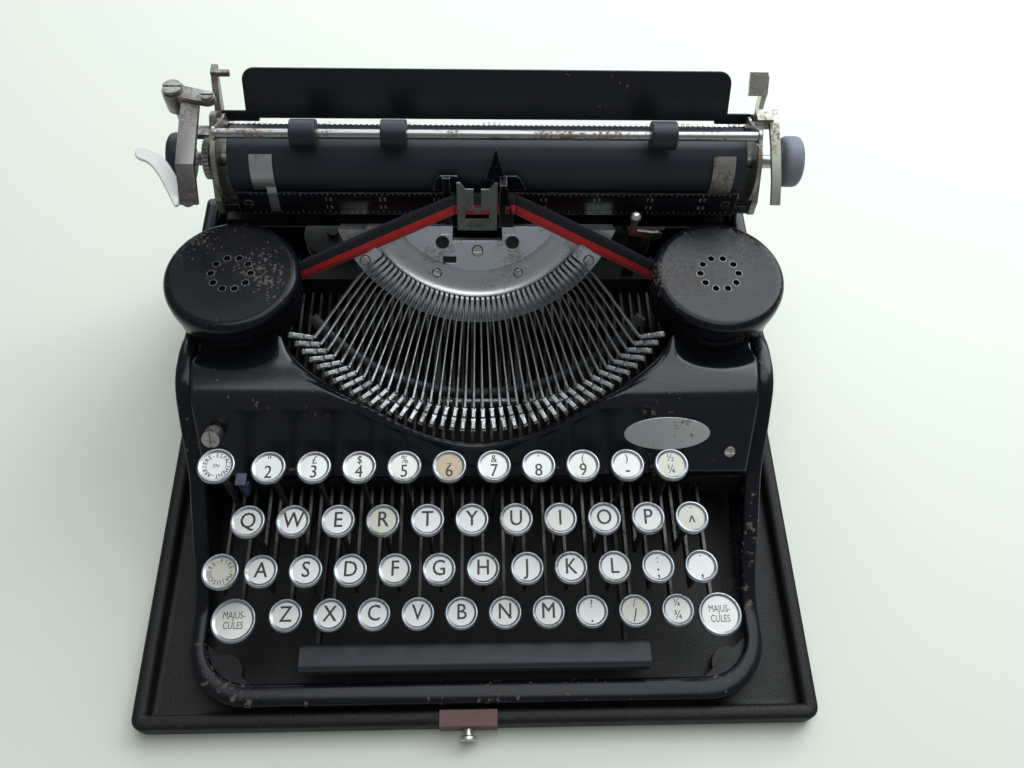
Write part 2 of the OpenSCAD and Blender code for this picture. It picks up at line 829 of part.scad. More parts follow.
// One typebar at rest, in the radial plane at angle a: hub with its bore, arm and slug. The slug is
// turned on the arm so that it strikes upright.
module typebar(a, bore_r) {
    on_segment() rotate([0, 0, a]) translate([0, -fulcrum_r, fulcrum_z]) rotate([-bar_rest, 0, 0])
    difference() {
        union() {
            side_plate(0, bar_t) {
                circle(r = 2.4);
                polygon([[0, -1.6], [0, 1.6], [-bar_len - 1, 1.2], [-bar_len - 1, -1.2]]);
            }
            translate([0, -bar_len, 0]) rotate([slug_tilt, 0, 0]) rotate([0, 0, a])
                translate([-slug_w / 2, -slug_len, -2]) cube([slug_w, slug_len, 4]);
        }
        x_bar(-2, 2, 0, 0, bore_r);
    }
}

module typebars() {
    color([0.55, 0.55, 0.56])
    for (i = [0:bar_count - 1]) if (i != centre_bar) typebar(bar_angle(i), fulcrum_wire_r);
}

module centre_typebar() {
    color([0.6, 0.6, 0.61])
    typebar(bar_angle(centre_bar), fulcrum_wire_r + run_fit);
}

rest_s = 50;
rest_tube_r = 2.5;
rest_r = fulcrum_r + rest_s * cos(bar_rest) + (rest_tube_r + 1.5 + gap) * sin(bar_rest);
rest_z = fulcrum_z + rest_s * sin(bar_rest) - (rest_tube_r + 1.5 + gap) * cos(bar_rest);

// Felted arc that the typebars lie on, with two arms back to the segment beam
module typebar_rest() {
    arc = bar_count * bar_pitch + 4;
    low_y = seg_y - rest_r * cos(seg_tilt) - rest_z * sin(seg_tilt);
    low_z = seg_z - rest_r * sin(seg_tilt) + rest_z * cos(seg_tilt);
    color([0.16, 0.14, 0.13]) {
        on_segment() rotate([0, 0, -90 - arc / 2]) rotate_extrude(angle = arc, $fn = 96)
            translate([rest_r, rest_z]) circle(r = rest_tube_r, $fn = 24);
        for (sx = [-1, 1]) side_plate(sx * 20, 3)
            polygon([[beam_y, beam_z + 6], [beam_y, beam_z - 3], [low_y + 4, 42], [low_y - 1, low_z - 1],
                [low_y + 3, low_z], [low_y + 9, 46], [beam_y - 4, beam_z + 2]]);
    }
}

// Keys

function column_x(k) = key_x0 + k * quarter;

module key_head(r) {
    rotate_extrude() polygon([[0, 0], [r - 1.6, 0], [r, 1.2], [r, key_h - 0.4], [r - 0.4, key_h],
        [r - 1.1, key_h], [r - 1.1, key_h - 0.5], [0, key_h - 0.5]]);
}

// Lever with its stem, as a side view; the head sits on top
module lever_view(y, z) {
    translate([lever_rod_y, lever_rod_z]) circle(r = lever_rod_r + 2.5);
    translate([y - 1.6, lever_z]) square([lever_rod_y - y, lever_h]);
    translate([y - 1.6, lever_z]) square([3.2, z - key_h - lever_z + 0.3]);
}

module key_lever(x, y, z, r, stem_x) {
    difference() {
        union() {
            side_plate(stem_x, lever_t) lever_view(y, z);
            translate([x, y, z - key_h]) key_head(r);
        }
        x_bar(stem_x - 3, stem_x + 3, lever_rod_y, lever_rod_z, lever_rod_r + run_fit);
    }
}

module key_row(first_column, count, y, z, left_out) {
    for (i = [0:count - 1]) if (i != left_out) {
        x = column_x(first_column + 4 * i);
        color(nickel) key_lever(x, y, z, key_r, x);
    }
}

module number_keys() {
    key_row(2, 10, row1_y, row1_z, -1);
}

module upper_keys() {
    key_row(0, 11, row2_y, row2_z, -1);
}

module home_keys() {
    key_row(1, 11, row3_y, row3_z, home_centre);
}

module lower_keys() {
    key_row(3, 10, row4_y, row4_z, -1);
}

module centre_key() {
    x = column_x(1 + 4 * home_centre);
    color(nickel) key_lever(x, row3_y, row3_z, key_r, x);
}

module backspace_key() {
    color(nickel) key_lever(side_key_x, row1_y + 1, row1_z, side_key_r, side_key_x);
}

module shift_lock_key() {
    color(nickel) key_lever(side_key_x, row3_y, row3_z, side_key_r, side_key_x - lock_offset);
}

comb_y = -44;
comb_t = 2;
comb_rise = 7;
rear_comb_y = 76;

// A comb across the frame that guides every key lever; the children are cut out of it too
module comb(y, low) {
    half = inner_at(y);
    slots = concat([for (k = [0:42]) column_x(k)],
        [side_key_x, side_key_x - lock_offset, shift_x, -shift_x]);
    difference() {
        translate([-half, y, low]) cube([2 * half, comb_t, lever_top + comb_rise - low]);
        for (x = slots) translate([x - lever_t / 2 - gap, y - 1, low - 1])
            cube([lever_t + 2 * gap, comb_t + 2, lever_top + 1.8 - low]);
        children();
    }
}
lock_offset = 4.4;

module lever_combs() {
    color([0.2, 0.2, 0.21]) {
        comb(comb_y, lever_z - 5)
            translate([tab_x - tab_t / 2 - gap, comb_y - 1, tab_z - 6])
                cube([tab_t + 2 * gap, comb_t + 2, 20]);
        comb(rear_comb_y, lever_z - 4)
            for (sx = [-1, 1]) translate([sx * (leg_x + leg_w / 2) - shift_arm_t / 2 - gap,
                    rear_comb_y - 1, 0])
                cube([shift_arm_t + 2 * gap, comb_t + 2, lever_z + shift_lift]);
    }
}

space_arms = [5.5, 34.5];

module space_bar() {
    color([0.07, 0.07, 0.08]) {
        translate([space_x, space_y + space_d / 2, space_top - space_h]) {
            r = 2.5;
            union() {
                translate([-space_w / 2, -space_d / 2, 0])
                    cube([space_w, space_d, space_h - r]);
                translate([-space_w / 2, -space_d / 2 + r, 0])
                    cube([space_w, space_d - 2 * r, space_h]);
                for (s = [-1, 1]) translate([-space_w / 2, s * (space_d / 2 - r), space_h - r])
                    rotate([0, 90, 0]) cylinder(h = space_w, r = r);
            }
        }
        for (k = space_arms) difference() {
            side_plate(column_x(k), 1.6) {
                translate([space_rod_y, space_rod_z]) circle(r = space_rod_r + 2);
                polygon([[space_rod_y, space_rod_z - 3], [space_rod_y, space_rod_z + 3],
                    [space_y + space_d - 1, space_top - space_h + 6],
                    [space_y + space_d - 1, space_top - space_h]]);
            }
            x_bar(column_x(k) - 3, column_x(k) + 3, space_rod_y, space_rod_z, space_rod_r + run_fit);
        }
    }
}

module shift_keys() {
    color(nickel)
    for (sx = [-1, 1]) {
        translate([sx * shift_x, shift_y, row4_z - key_h]) key_head(shift_key_r);
        difference() {
            side_plate(sx * shift_x, lever_t) {
                translate([shift_rod_y, shift_rod_z]) circle(r = shift_rod_r + 2);
                polygon([[shift_rod_y, shift_rod_z - 3], [shift_rod_y, shift_rod_z + 4],
                    [-50, lever_top - 2], [shift_y, lever_top - 2], [shift_y, lever_z],
                    [-50, lever_z - 2]]);
                translate([shift_y - 1.6, lever_z]) square([3.2, row4_z - key_h - lever_z + 0.3]);
            }
            x_bar(sx * shift_x - 3, sx * shift_x + 3, shift_rod_y, shift_rod_z, shift_rod_r);
        }
    }
}

shift_arm_t = 3;

module shift_shaft() {
    reach = inner_at(shift_rod_y) + 2.5;
    pad_top = lever_z - 2.7;
    color(steel) {
        x_bar(-reach, reach, shift_rod_y, shift_rod_z, shift_rod_r);
        for (sx = [-1, 1]) side_plate(sx * (leg_x + leg_w / 2), shift_arm_t)
            polygon([[shift_rod_y, shift_rod_z - 2], [shift_rod_y, shift_rod_z + 2],
                [leg_y, pad_top], [leg_y + leg_d, pad_top], [leg_y + leg_d, pad_top - 5]]);
    }
}

// Tab lever: it passes under the cover's lower edge and ends in a small flat head
module tab_lever() {
    front_y = -53.8;
    head_z = 57;
    color([0.45, 0.5, 0.58])
    difference() {
        union() {
            side_plate(tab_x, tab_t) {
                translate([tab_y, tab_z]) circle(r = 4.4);
                polygon([[tab_y - 1, tab_z - 4.2], [tab_y + 2, tab_z + 3.6], [-42, 43.8], [-47.2, 43.8],
                    [front_y + 4.3, 47], [front_y + 4.3, head_z], [front_y, head_z], [front_y, 43],
                    [-49, 38.4]]);
            }
            translate([tab_x - 2, front_y, head_z - 1.4]) cube([4.7, 6, 1.4]);
        }
        x_bar(tab_x - 3, tab_x + 3, tab_y, tab_z, tab_rod_r + run_fit);
    }
}

// Carriage

module shift_frame() {
    half = leg_x + leg_w;
    color([0.5, 0.5, 0.52])
    union() {
        both_sides() translate([leg_x, leg_y, lever_z - 2.7 + gap])
            cube([leg_w, leg_d, rail_z - lever_z + 2.7 - gap]);
        translate([-half, leg_y, rail_z - 5]) cube([2 * half, rail_y + rail_d - leg_y, 5]);
        translate([-half, rail_y, rail_z - eps]) cube([2 * half, rail_d, rail_h]);
    }
}

module carriage_bed() {
    color([0.2, 0.2, 0.21])
    difference() {
        translate([car_x - end_in, bed_y, rail_z + gap]) cube([2 * end_in, bed_d, bed_top - rail_z - gap]);
        rail_groove(car_x - end_in - 1, car_x + end_in + 1);
    }
}

module rail_groove(x0, x1) {
    translate([x0, rail_y - gap, rail_z - 1]) cube([x1 - x0, rail_d + 2 * gap, rail_h + 1 + gap]);
}

// Side view of a carriage end: platen bearing, foot on the bed, arms to scale, rollers and bail
module end_view() {
    polygon([[69, scale_z + 1], [69.5, scale_z + 9], [platen_y - 10, platen_z + 5],
        [bail_pivot_y - 6, bail_pivot_z + 1], [bail_pivot_y, bail_pivot_z + 4],
        [bail_pivot_y + 3, bail_pivot_z + 3], [table_y + 4, table_z + 1], [bed_y + bed_d, 100],
        [bed_y + bed_d, rail_z + gap], [bed_y, rail_z + gap], [bed_y, bed_top], [82, 90], [76, 90],
        [73, scale_z - 2]]);
}

// Fixed arc beside the platen's end, on which the paper bail rests
module bail_rest(side) {
    inner = 17;
    outer = 19.5;
    x = car_x + side * (end_in - 0.9);
    side_plate(x, 1.8 + 2 * eps) polygon([
        for (a = [110:5:205]) [platen_y + outer * cos(a), platen_z + outer * sin(a)],
        for (a = [205:-5:110]) [platen_y + inner * cos(a), platen_z + inner * sin(a)]
    ]);
}

// Hook behind the left end of the platen, with its folded tab
module rear_hook() {
    side_plate(car_x - end_in - end_t / 2, end_t) polygon([[100, 113], [106, 113], [112, 125],
        [118, 137], [121, 141], [117, 141], [109, 131], [103, 120]]);
    translate([car_x - end_in - end_t, 115.6, 138.5]) cube([end_t + 5.5, 2, 2.5]);
}

// Block and long strap at the right end
module right_strap() {
    translate([car_x + end_in, 96, 127]) cube([7.7, 7, 6]);
    side_plate(car_x + end_in + 8.3, 4.3) polygon([[103, 133], [96, 131.5], [85, 127.5],
        [71, 120.5], [61.5, 113], [62.8, 111.5], [72, 118.4], [86, 125.4], [97, 129.4], [103, 130.5]]);
}

module carriage_end(side) {
    x = car_x + side * (end_in + end_t / 2);
    difference() {
        union() {
            side_plate(x, end_t) end_view();
            x_bar(x - end_t / 2, x + end_t / 2, platen_y, platen_z, 11);
            x_bar(x - end_t / 2, x + end_t / 2, bail_pivot_y, bail_pivot_z, 4);
            bail_rest(side);
            if (side > 0) right_strap();
            if (side < 0) rear_hook();
        }
        x_bar(x - 6, x + 6, platen_y, platen_z, shaft_r + run_fit);
        x_bar(x - 4, x + 4, roller_y, roller_z, roller_shaft_r + run_fit);
        x_bar(x - 6, x + 6, bail_pivot_y, bail_pivot_z, 1.5 + run_fit);
        if (side > 0) x_bar(x - 4, x + 4, release_y, release_z, 1.8 + run_fit);
        rail_groove(x - 4, x + 4);
    }
}

module left_end() {
    color(nickel)
    union() {
        carriage_end(-1);
        lever_bracket();
    }
}

module right_end() {
    color(nickel) carriage_end(1);
}

module platen() {
    color(rubber)
    difference() {
        x_bar(car_x - platen_half, car_x + platen_half, platen_y, platen_z, platen_r);
        x_bar(car_x - platen_half - 1, car_x + platen_half + 1, platen_y, platen_z, shaft_r);
    }
}

ratchet_teeth = 30;
ratchet_r = 9.5;

// Shaft with the line-space ratchet beside the left carriage end
module platen_shaft() {
    reach = knob_in + knob_t - 1;
    color(steel) {
        x_bar(car_x - reach, car_x + reach, platen_y, platen_z, shaft_r);
        translate([car_x - end_in - end_t - 4.5, platen_y, platen_z]) rotate([0, 90, 0])
            linear_extrude(3) polygon([for (i = [0:2 * ratchet_teeth - 1])
                (i % 2 == 0 ? ratchet_r : ratchet_r - 1) * [cos(i * 180 / ratchet_teeth),
                    sin(i * 180 / ratchet_teeth)]]);
    }
}

module platen_knobs() {
    color(rubber)
    for (side = [-1, 1]) {
        x0 = car_x + (side > 0 ? knob_in : -knob_in - knob_t);
        difference() {
            x_bar(x0, x0 + knob_t, platen_y, platen_z, knob_r);
            x_bar(side > 0 ? x0 - 1 : x0 + 1, side > 0 ? x0 + knob_t - 1 : x0 + knob_t + 1,
                platen_y, platen_z, shaft_r);
        }
    }
}

module feed_rollers() {
    r = sqrt(pow(platen_y - roller_y, 2) + pow(platen_z - roller_z, 2)) - platen_r - 0.2;
    color(rubber) {
        x_bar(car_x - end_in - end_t, car_x + end_in + end_t, roller_y, roller_z, roller_shaft_r);
        for (k = [-1:1]) x_bar(car_x + k * 75 - 16, car_x + k * 75 + 16, roller_y, roller_z, r);
    }
}

// Paper table with rounded top corners and two ears that reach the carriage ends
module paper_table() {
    r = 6;
    color(enamel)
    translate([car_x, table_y, table_z]) rotate([table_slope, 0, 0]) {
        translate([0, 0, -table_t]) linear_extrude(table_t) {
            translate([-table_half, 0]) square([2 * table_half, table_h - r]);
            translate([-table_half + r, 0]) square([2 * (table_half - r), table_h]);
            for (s = [-1, 1]) translate([s * (table_half - r), table_h - r]) circle(r = r);
        }
        for (s = [-1, 1]) translate([s > 0 ? table_half - 6 : -end_in, -1.5, -table_t])
            cube([end_in - table_half + 6, 5, table_t]);
    }
}

rack_pitch = 2.54;
rack_z = 115;

// Toothed margin rack between the carriage ends, behind the platen
module margin_rack() {
    y = platen_y + platen_r + 0.6;
    teeth = floor(2 * (end_in - 4) / rack_pitch);
    color(nickel)
    translate([car_x, y, rack_z]) difference() {
        translate([-end_in, 0, 0]) cube([2 * end_in, 1.6, 5]);
        for (i = [0:teeth]) translate([(i - teeth / 2) * rack_pitch - 0.6, -1, 3.4]) cube([1.2, 4, 3]);
    }
}

bail_arm_x = 122.6;

module bail_rod() {
    color(nickel) {
        x_bar(car_x - bail_arm_x, car_x + bail_arm_x, bail_y, bail_z, bail_r);
        for (s = [-1, 1]) {
            side_plate(car_x + s * bail_arm_x, 1.4) {
                translate([bail_pivot_y, bail_pivot_z]) circle(r = 3.4);
                translate([bail_y, bail_z]) circle(r = 3.2);
                polygon([[bail_y, bail_z - 2.4], [bail_y + 1, bail_z + 2.4],
                    [bail_pivot_y + 1, bail_pivot_z + 2.4], [bail_pivot_y - 1, bail_pivot_z - 2.4]]);
            }
            x_bar(car_x + (s > 0 ? bail_arm_x : -end_in - end_t), car_x + (s > 0 ? end_in + end_t
                : -bail_arm_x), bail_pivot_y, bail_pivot_z, 1.5);
        }
    }
}

bail_roller_x = [-83.3, -43, 78.7];

module bail_rollers() {
    color(rubber)
    for (x = bail_roller_x) difference() {
        x_bar(car_x + x - 5.8, car_x + x + 5.8, bail_y, bail_z, bail_roller_r);
        x_bar(car_x + x - 7, car_x + x + 7, bail_y, bail_z, bail_r + run_fit);
    }
}

finger_x = [-104.3, 109];
finger_w = 10.4;
foot_w = 4.3;

// Curved paper fingers in front of the platen; the left one's foot lies on the scale's face, the
// right one's behind it
module paper_fingers() {
    r = platen_r + gap;
    t = 0.8;
    low_z = platen_z - 0.5;
    near = platen_y - r - t;
    color(steel)
    for (i = [0, 1]) {
        x = car_x + finger_x[i];
        intersection() {
            difference() {
                x_bar(x - finger_w / 2, x + finger_w / 2, platen_y, platen_z, r + t);
                x_bar(x - finger_w, x + finger_w, platen_y, platen_z, r);
            }
            side_plate(x, 20) polygon([[platen_y, platen_z], [platen_y - 20, platen_z + 27],
                [platen_y - 30, platen_z - 2.2], [platen_y - 30, platen_z - 4.2]]);
        }
        if (i == 0) side_plate(x + (finger_w - foot_w) / 2, foot_w) polygon([
            [near, low_z], [near + t, low_z], [near + t, low_z - 2.1],
            [scale_front_y(109.6) - 0.02, 109.6], [scale_front_y(99) - 0.02, 99],
            [scale_front_y(99) - t, 99], [scale_front_y(110) - t, 110]]);
        if (i == 1) side_plate(x, finger_w) polygon([
            [near, low_z], [near + t, low_z], [scale_back_y(109.5) + t, 109.5],
            [scale_back_y(103) + t, 103], [scale_back_y(103), 103], [scale_back_y(109.5), 109.5]]);
    }
}
function scale_front_y(z) = scale_y - scale_t / 2 + (z - scale_z) * tan(scale_lean);
function scale_back_y(z) = scale_front_y(z) + scale_t / cos(scale_lean) + 0.02;

// Front scale on a bar between the carriage ends, with two slotted screws
module front_scale() {
    color([0.12, 0.12, 0.13]) {
        translate([car_x, scale_y, scale_z]) rotate([-scale_lean, 0, 0]) {
            translate([-118.5, -scale_t / 2, 0]) cube([237, scale_t, scale_h]);
            translate([-end_in, scale_t / 2 - eps, 0.5]) cube([2 * end_in, 2.2, 4.5]);
            for (s = [-1, 1]) translate([s * 113.5, -scale_t / 2, scale_h / 2]) rotate([90, 0, 0])
                slotted_head(2.2, 0.5);
        }
    }
}

// Bracket on the segment beam that carries the margin release
module margin_bracket() {
    difference() {
        union() {
            translate([margin_x0 + 2, margin_y, beam_z + beam_h - 1])
                cube([6, 2, scale_z - beam_z - beam_h + 1]);
            translate([margin_x0, margin_y, margin_pin_z - 3]) cube([margin_x1 - margin_x0, 2, 6]);
        }
        translate([margin_pin_x, margin_y - 1, margin_pin_z]) rotate([-90, 0, 0])
            cylinder(h = 4, r = 1.5 + run_fit);
    }
}

// Margin release: an arm on a pin, with a round finger knob
module margin_release() {
    color(nickel) {
        translate([margin_pin_x, margin_y - 1.6, margin_pin_z]) rotate([-90, 0, 0])
            cylinder(h = 3.4, r = 1.5);
        translate([0, margin_y - gap, 0]) rotate([90, 0, 0]) linear_extrude(1.4) {
            translate([margin_pin_x, margin_pin_z]) circle(r = 2.8);
            polygon([[margin_pin_x, margin_pin_z - 2.2], [margin_pin_x, margin_pin_z + 2.2],
                [76.4, 98], [75.6, 105], [72.8, 105], [72.4, 95]]);
        }
        translate([74.2, margin_y - gap - 0.7, 104]) cylinder(h = 2, r = 1.4);
        translate([74.2, margin_y - gap - 0.7, 107.4]) sphere(r = 2.6);
    }
}

lever_pivot_x = -137;
lever_pivot_y = 103;
lever_pivot_z = 139;

// Bracket and post of the left carriage end that carry the line-space lever
module lever_bracket() {
    x0 = lever_pivot_x - 4.5;
    translate([x0, 101.5, 113]) cube([car_x - end_in - end_t - x0 + 1, 6, 3]);
    translate([lever_pivot_x, lever_pivot_y, 113 + eps])
        cylinder(h = lever_pivot_z - 113 + 4, r = lever_post_r);
    translate([lever_pivot_x, lever_pivot_y, lever_pivot_z + 3 + gap]) slotted_head(4.3, 1.8);
}
lever_post_r = 2.5;

arm_x = -129.6;
arm_w = 8;

// Line-space lever: hub on the post, a strap with its screw, and an arm that bends down in front
module line_lever() {
    strap_x = -121.3;
    strap_y = 98.9;
    strap_t = 3;
    color(nickel)
    difference() {
        union() {
            translate([lever_pivot_x, lever_pivot_y, lever_pivot_z - 7]) cylinder(h = 10, r = 5.2);
            translate([0, 0, lever_pivot_z]) linear_extrude(strap_t) {
                polygon([[lever_pivot_x - 0.9, lever_pivot_y - 3.6], [strap_x - 0.8, strap_y - 3.3],
                    [strap_x + 0.8, strap_y + 3.3], [lever_pivot_x + 0.9, lever_pivot_y + 3.6]]);
                translate([strap_x, strap_y]) circle(r = 3.4);
            }
            translate([strap_x, strap_y, lever_pivot_z + strap_t - eps]) slotted_head(2.7, 1.2);
            side_plate(arm_x, arm_w) polygon([[104, 141], [68, 131.6], [56.6, 117.6], [58.6, 116.2],
                [69.4, 129.1], [104, 138.4]]);
            translate([arm_x, 58.8, 118.9]) rotate([51, 0, 0]) slotted_head(3.2, 2.2);
        }
        translate([lever_pivot_x, lever_pivot_y, lever_pivot_z - 20])
            cylinder(h = 40, r = lever_post_r + run_fit);
    }
}

blade_bend = [[-18, 21.1], [-9.5, 19.5], [-5.5, 9.5], [1.5, -2.6]];
blade_half = 3.4;

function bend_point(t) = pow(1 - t, 3) * blade_bend[0] + 3 * t * pow(1 - t, 2) * blade_bend[1]
    + 3 * t * t * (1 - t) * blade_bend[2] + pow(t, 3) * blade_bend[3];
function bend_side(t) = let (d = bend_point(t + 0.02) - bend_point(t - 0.02))
    blade_half * [-d[1], d[0]] / norm(d);

// Curved finger blade at the end of the lever's arm
module finger_blade() {
    color([0.85, 0.86, 0.84])
    difference() {
        translate([-133.9, 58.9, 119]) rotate([14.6, 5.5, 0]) translate([0, 0, -1.1]) union() {
            linear_extrude(2.2) polygon([
                for (k = [0:10]) bend_point(k / 10) + bend_side(k / 10),
                for (k = [10:-1:0]) bend_point(k / 10) - bend_side(k / 10)
            ]);
            translate(blade_bend[0]) cylinder(h = 2.2, r = blade_half);
        }
        translate([arm_x - arm_w / 2, 40, 100]) cube([20, 40, 40]);
    }
}

// Paper release lever on its pin in the right carriage end
module release_lever() {
    x = car_x + end_in + end_t + gap + 1.2;
    color(nickel) {
        x_bar(x - 4, x + 3, release_y, release_z, 1.8);
        side_plate(x, 2.4) {
            translate([release_y, release_z]) circle(r = 4);
            polygon([[release_y - 3, release_z], [release_y + 3, release_z - 1], [113, 126],
                [116.5, 142], [114, 143], [109, 137], [108.5, 130]]);
        }
        translate([x - 8.3, 108.4, 136]) rotate([48.4, 0, 0]) cube([8.5, 10.7, 2]);
    }
}

module spring_drum() {
    color([0.55, 0.5, 0.4])
    difference() {
        translate([drum_x, drum_y, rear_beam_z + rear_beam_h + 3 + gap]) union() {
            cylinder(h = 9, r = drum_r - 2);
            cylinder(h = 1.5, r = drum_r);
            translate([0, 0, 7.5]) cylinder(h = 1.5, r = drum_r);
        }
        translate([drum_x, drum_y, 0]) cylinder(h = 100, r = 3 + run_fit);
    }
}

module bell() {
    r = 14;
    color([0.75, 0.66, 0.4])
    translate([bell_x, drum_y, rear_beam_z + rear_beam_h + 5]) rotate_extrude()
        polygon([[2.5, 11], [6, 10.6], [11, 7.5], [12.8, 3], [13, 0], [r, 0], [r - 0.2, 3.6],
            [12, 8.6], [6.4, 12.1], [2.5, 12.6]]);
}

base_board();
latch_plate();
latch_button();
rubber_feet();
main_frame();
cross_beams();
front_cover();
blank_oval();
slotted_screws();
selector_knob();
spool_cups();
left_lid();
right_lid();
left_spool();
right_spool();
left_roll();
right_roll();
free_ribbon();
ribbon_centre();
vibrator();
card_holder();
segment();
hub_plate();
fulcrum_wire();
typebars();
centre_typebar();
typebar_rest();
pivot_rods();
lever_combs();
number_keys();
upper_keys();
home_keys();
lower_keys();
centre_key();
space_bar();
shift_keys();
shift_shaft();
shift_lock_key();
backspace_key();
tab_lever();
shift_frame();
carriage_bed();
left_end();
right_end();
platen();
platen_shaft();
platen_knobs();
feed_rollers();
paper_table();
margin_rack();
bail_rod();
bail_rollers();
paper_fingers();
front_scale();
line_lever();
finger_blade();
release_lever();
margin_release();
spring_drum();
bell();
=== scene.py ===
"""The looks of a portable typewriter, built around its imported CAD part. Sizes in millimetres."""
import json
import math

import bmesh
import bpy
from mathutils import Matrix, Vector


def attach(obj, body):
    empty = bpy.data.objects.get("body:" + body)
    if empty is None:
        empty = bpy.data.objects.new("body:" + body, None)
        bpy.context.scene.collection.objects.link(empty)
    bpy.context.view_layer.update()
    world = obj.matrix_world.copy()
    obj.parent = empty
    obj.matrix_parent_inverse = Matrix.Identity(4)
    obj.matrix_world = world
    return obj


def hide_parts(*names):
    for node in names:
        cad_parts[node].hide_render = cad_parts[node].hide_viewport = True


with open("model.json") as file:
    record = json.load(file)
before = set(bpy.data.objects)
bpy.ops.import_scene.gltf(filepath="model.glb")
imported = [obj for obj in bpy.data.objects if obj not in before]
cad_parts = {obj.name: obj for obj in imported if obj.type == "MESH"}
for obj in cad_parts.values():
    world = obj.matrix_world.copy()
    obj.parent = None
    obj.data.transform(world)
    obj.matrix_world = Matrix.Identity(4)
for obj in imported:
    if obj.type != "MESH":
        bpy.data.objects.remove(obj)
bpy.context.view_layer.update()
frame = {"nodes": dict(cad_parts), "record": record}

MM = 0.001
BLACK = (0.0035, 0.004, 0.0055, 1)
RUST = (0.050, 0.033, 0.026, 1)
BARE_METAL = (0.30, 0.28, 0.26, 1)


# Materials


class Tone:
    """A value that changes over a surface. Arithmetic on it adds Math nodes to its material."""

    def __init__(self, finish, socket):
        self.finish = finish
        self.socket = socket

    def math(self, operation, first, second):
        return self.finish.node("Math", {"operation": operation}, {0: first, 1: second})

    def __add__(self, other):
        return self.math("ADD", self, other)

    def __radd__(self, other):
        return self.math("ADD", other, self)

    def __sub__(self, other):
        return self.math("SUBTRACT", self, other)

    def __rsub__(self, other):
        return self.math("SUBTRACT", other, self)

    def __mul__(self, other):
        return self.math("MULTIPLY", self, other)


class Finish:
    """A procedural material around one Principled shader. Keywords are that shader's constants."""

    def __init__(self, name, **constants):
        self.material = bpy.data.materials.new(name)
        self.material.use_nodes = True
        tree = self.material.node_tree
        self.nodes = tree.nodes
        self.links = tree.links
        self.shader = self.nodes["Principled BSDF"]
        for socket, value in constants.items():
            self.shader.inputs[socket.replace("_", " ")].default_value = value
        self.place = self.node("TexCoord", output="Object")

    def node(self, kind, settings=None, sockets=None, output=0):
        made = self.nodes.new("ShaderNode" + kind)
        for key, value in (settings or {}).items():
            setattr(made, key, value)
        for key, value in (sockets or {}).items():
            self.feed(made.inputs[key], value)
        return Tone(self, made.outputs[output])

    def feed(self, socket, value):
        if isinstance(value, Tone):
            self.links.new(value.socket, socket)
        else:
            socket.default_value = value

    def noise(self, scale, detail=3.0, stretch=None):
        place = self.place
        if stretch:
            place = self.node("Mapping", None, {"Vector": place, "Scale": stretch})
        return self.node("TexNoise", None, {"Vector": place, "Scale": scale, "Detail": detail})

    def step(self, value, low, high):
        limits = {"Value": value, "From Min": low, "From Max": high}
        return self.node("MapRange", {"interpolation_type": "SMOOTHSTEP"}, limits)

    def mix(self, factor, first, second):
        return self.node("Mix", {"data_type": "RGBA"}, {0: factor, 6: first, 7: second}, 2)

    def edges(self, radius):
        """How near a convex or concave edge is: 0 on a flat, about 0.3 at a right angle."""
        rounded = self.node("Bevel", {"samples": 6}, {"Radius": radius})
        actual = self.node("NewGeometry", output="Normal")
        return 1 - self.node("VectorMath", {"operation": "DOT_PRODUCT"}, {0: rounded, 1: actual}, 1)

    def surface(self, colour=None, roughness=None, metallic=None, height=None, depth=0.1 * MM):
        for socket, value in (
            ("Base Color", colour),
            ("Roughness", roughness),
            ("Metallic", metallic),
        ):
            if value is not None:
                self.feed(self.shader.inputs[socket], value)
        if height is not None:
            bump = self.node("Bump", None, {"Height": height, "Distance": depth, "Strength": 1.0})
            self.feed(self.shader.inputs["Normal"], bump)
        return self.material


def enamel(name, chips=0.5, rust=0.3, gloss=0.16, base=BLACK, speck=1.0, shine=0.5):
    """Black stoved enamel: worn bright on its edges, with specks of rust and fine scratches."""
    f = Finish(name, IOR=1.45, Specular_IOR_Level=shine)
    broad = f.noise(22, 4)
    fine = f.noise(330 * speck, 6)
    edge = f.edges(1.1 * MM)
    bare = f.step(edge * 2.4 + fine * 0.9 + broad * 0.5, 1.22 - 0.2 * chips, 1.32 - 0.2 * chips)
    rusty = f.step(fine * 0.9 + broad * 0.7, 0.99 - 0.16 * rust, 1.05 - 0.16 * rust)
    scratch = f.noise(90, 5, (1, 9, 1))
    colour = f.mix(broad, base, (base[0] * 1.9, base[1] * 1.9, base[2] * 2.1, 1))
    colour = f.mix(rusty, colour, f.mix(fine, RUST, (0.13, 0.10, 0.085, 1)))
    colour = f.mix(bare, colour, f.mix(fine, BARE_METAL, (0.42, 0.41, 0.40, 1)))
    rough = gloss + scratch * 0.12 + rusty * 0.45 + bare * 0.2
    height = fine * 0.25 - rusty * 0.5 - bare * 0.6 + scratch * 0.08
    return f.surface(colour, rough, bare * 0.75, height, 0.12 * MM)


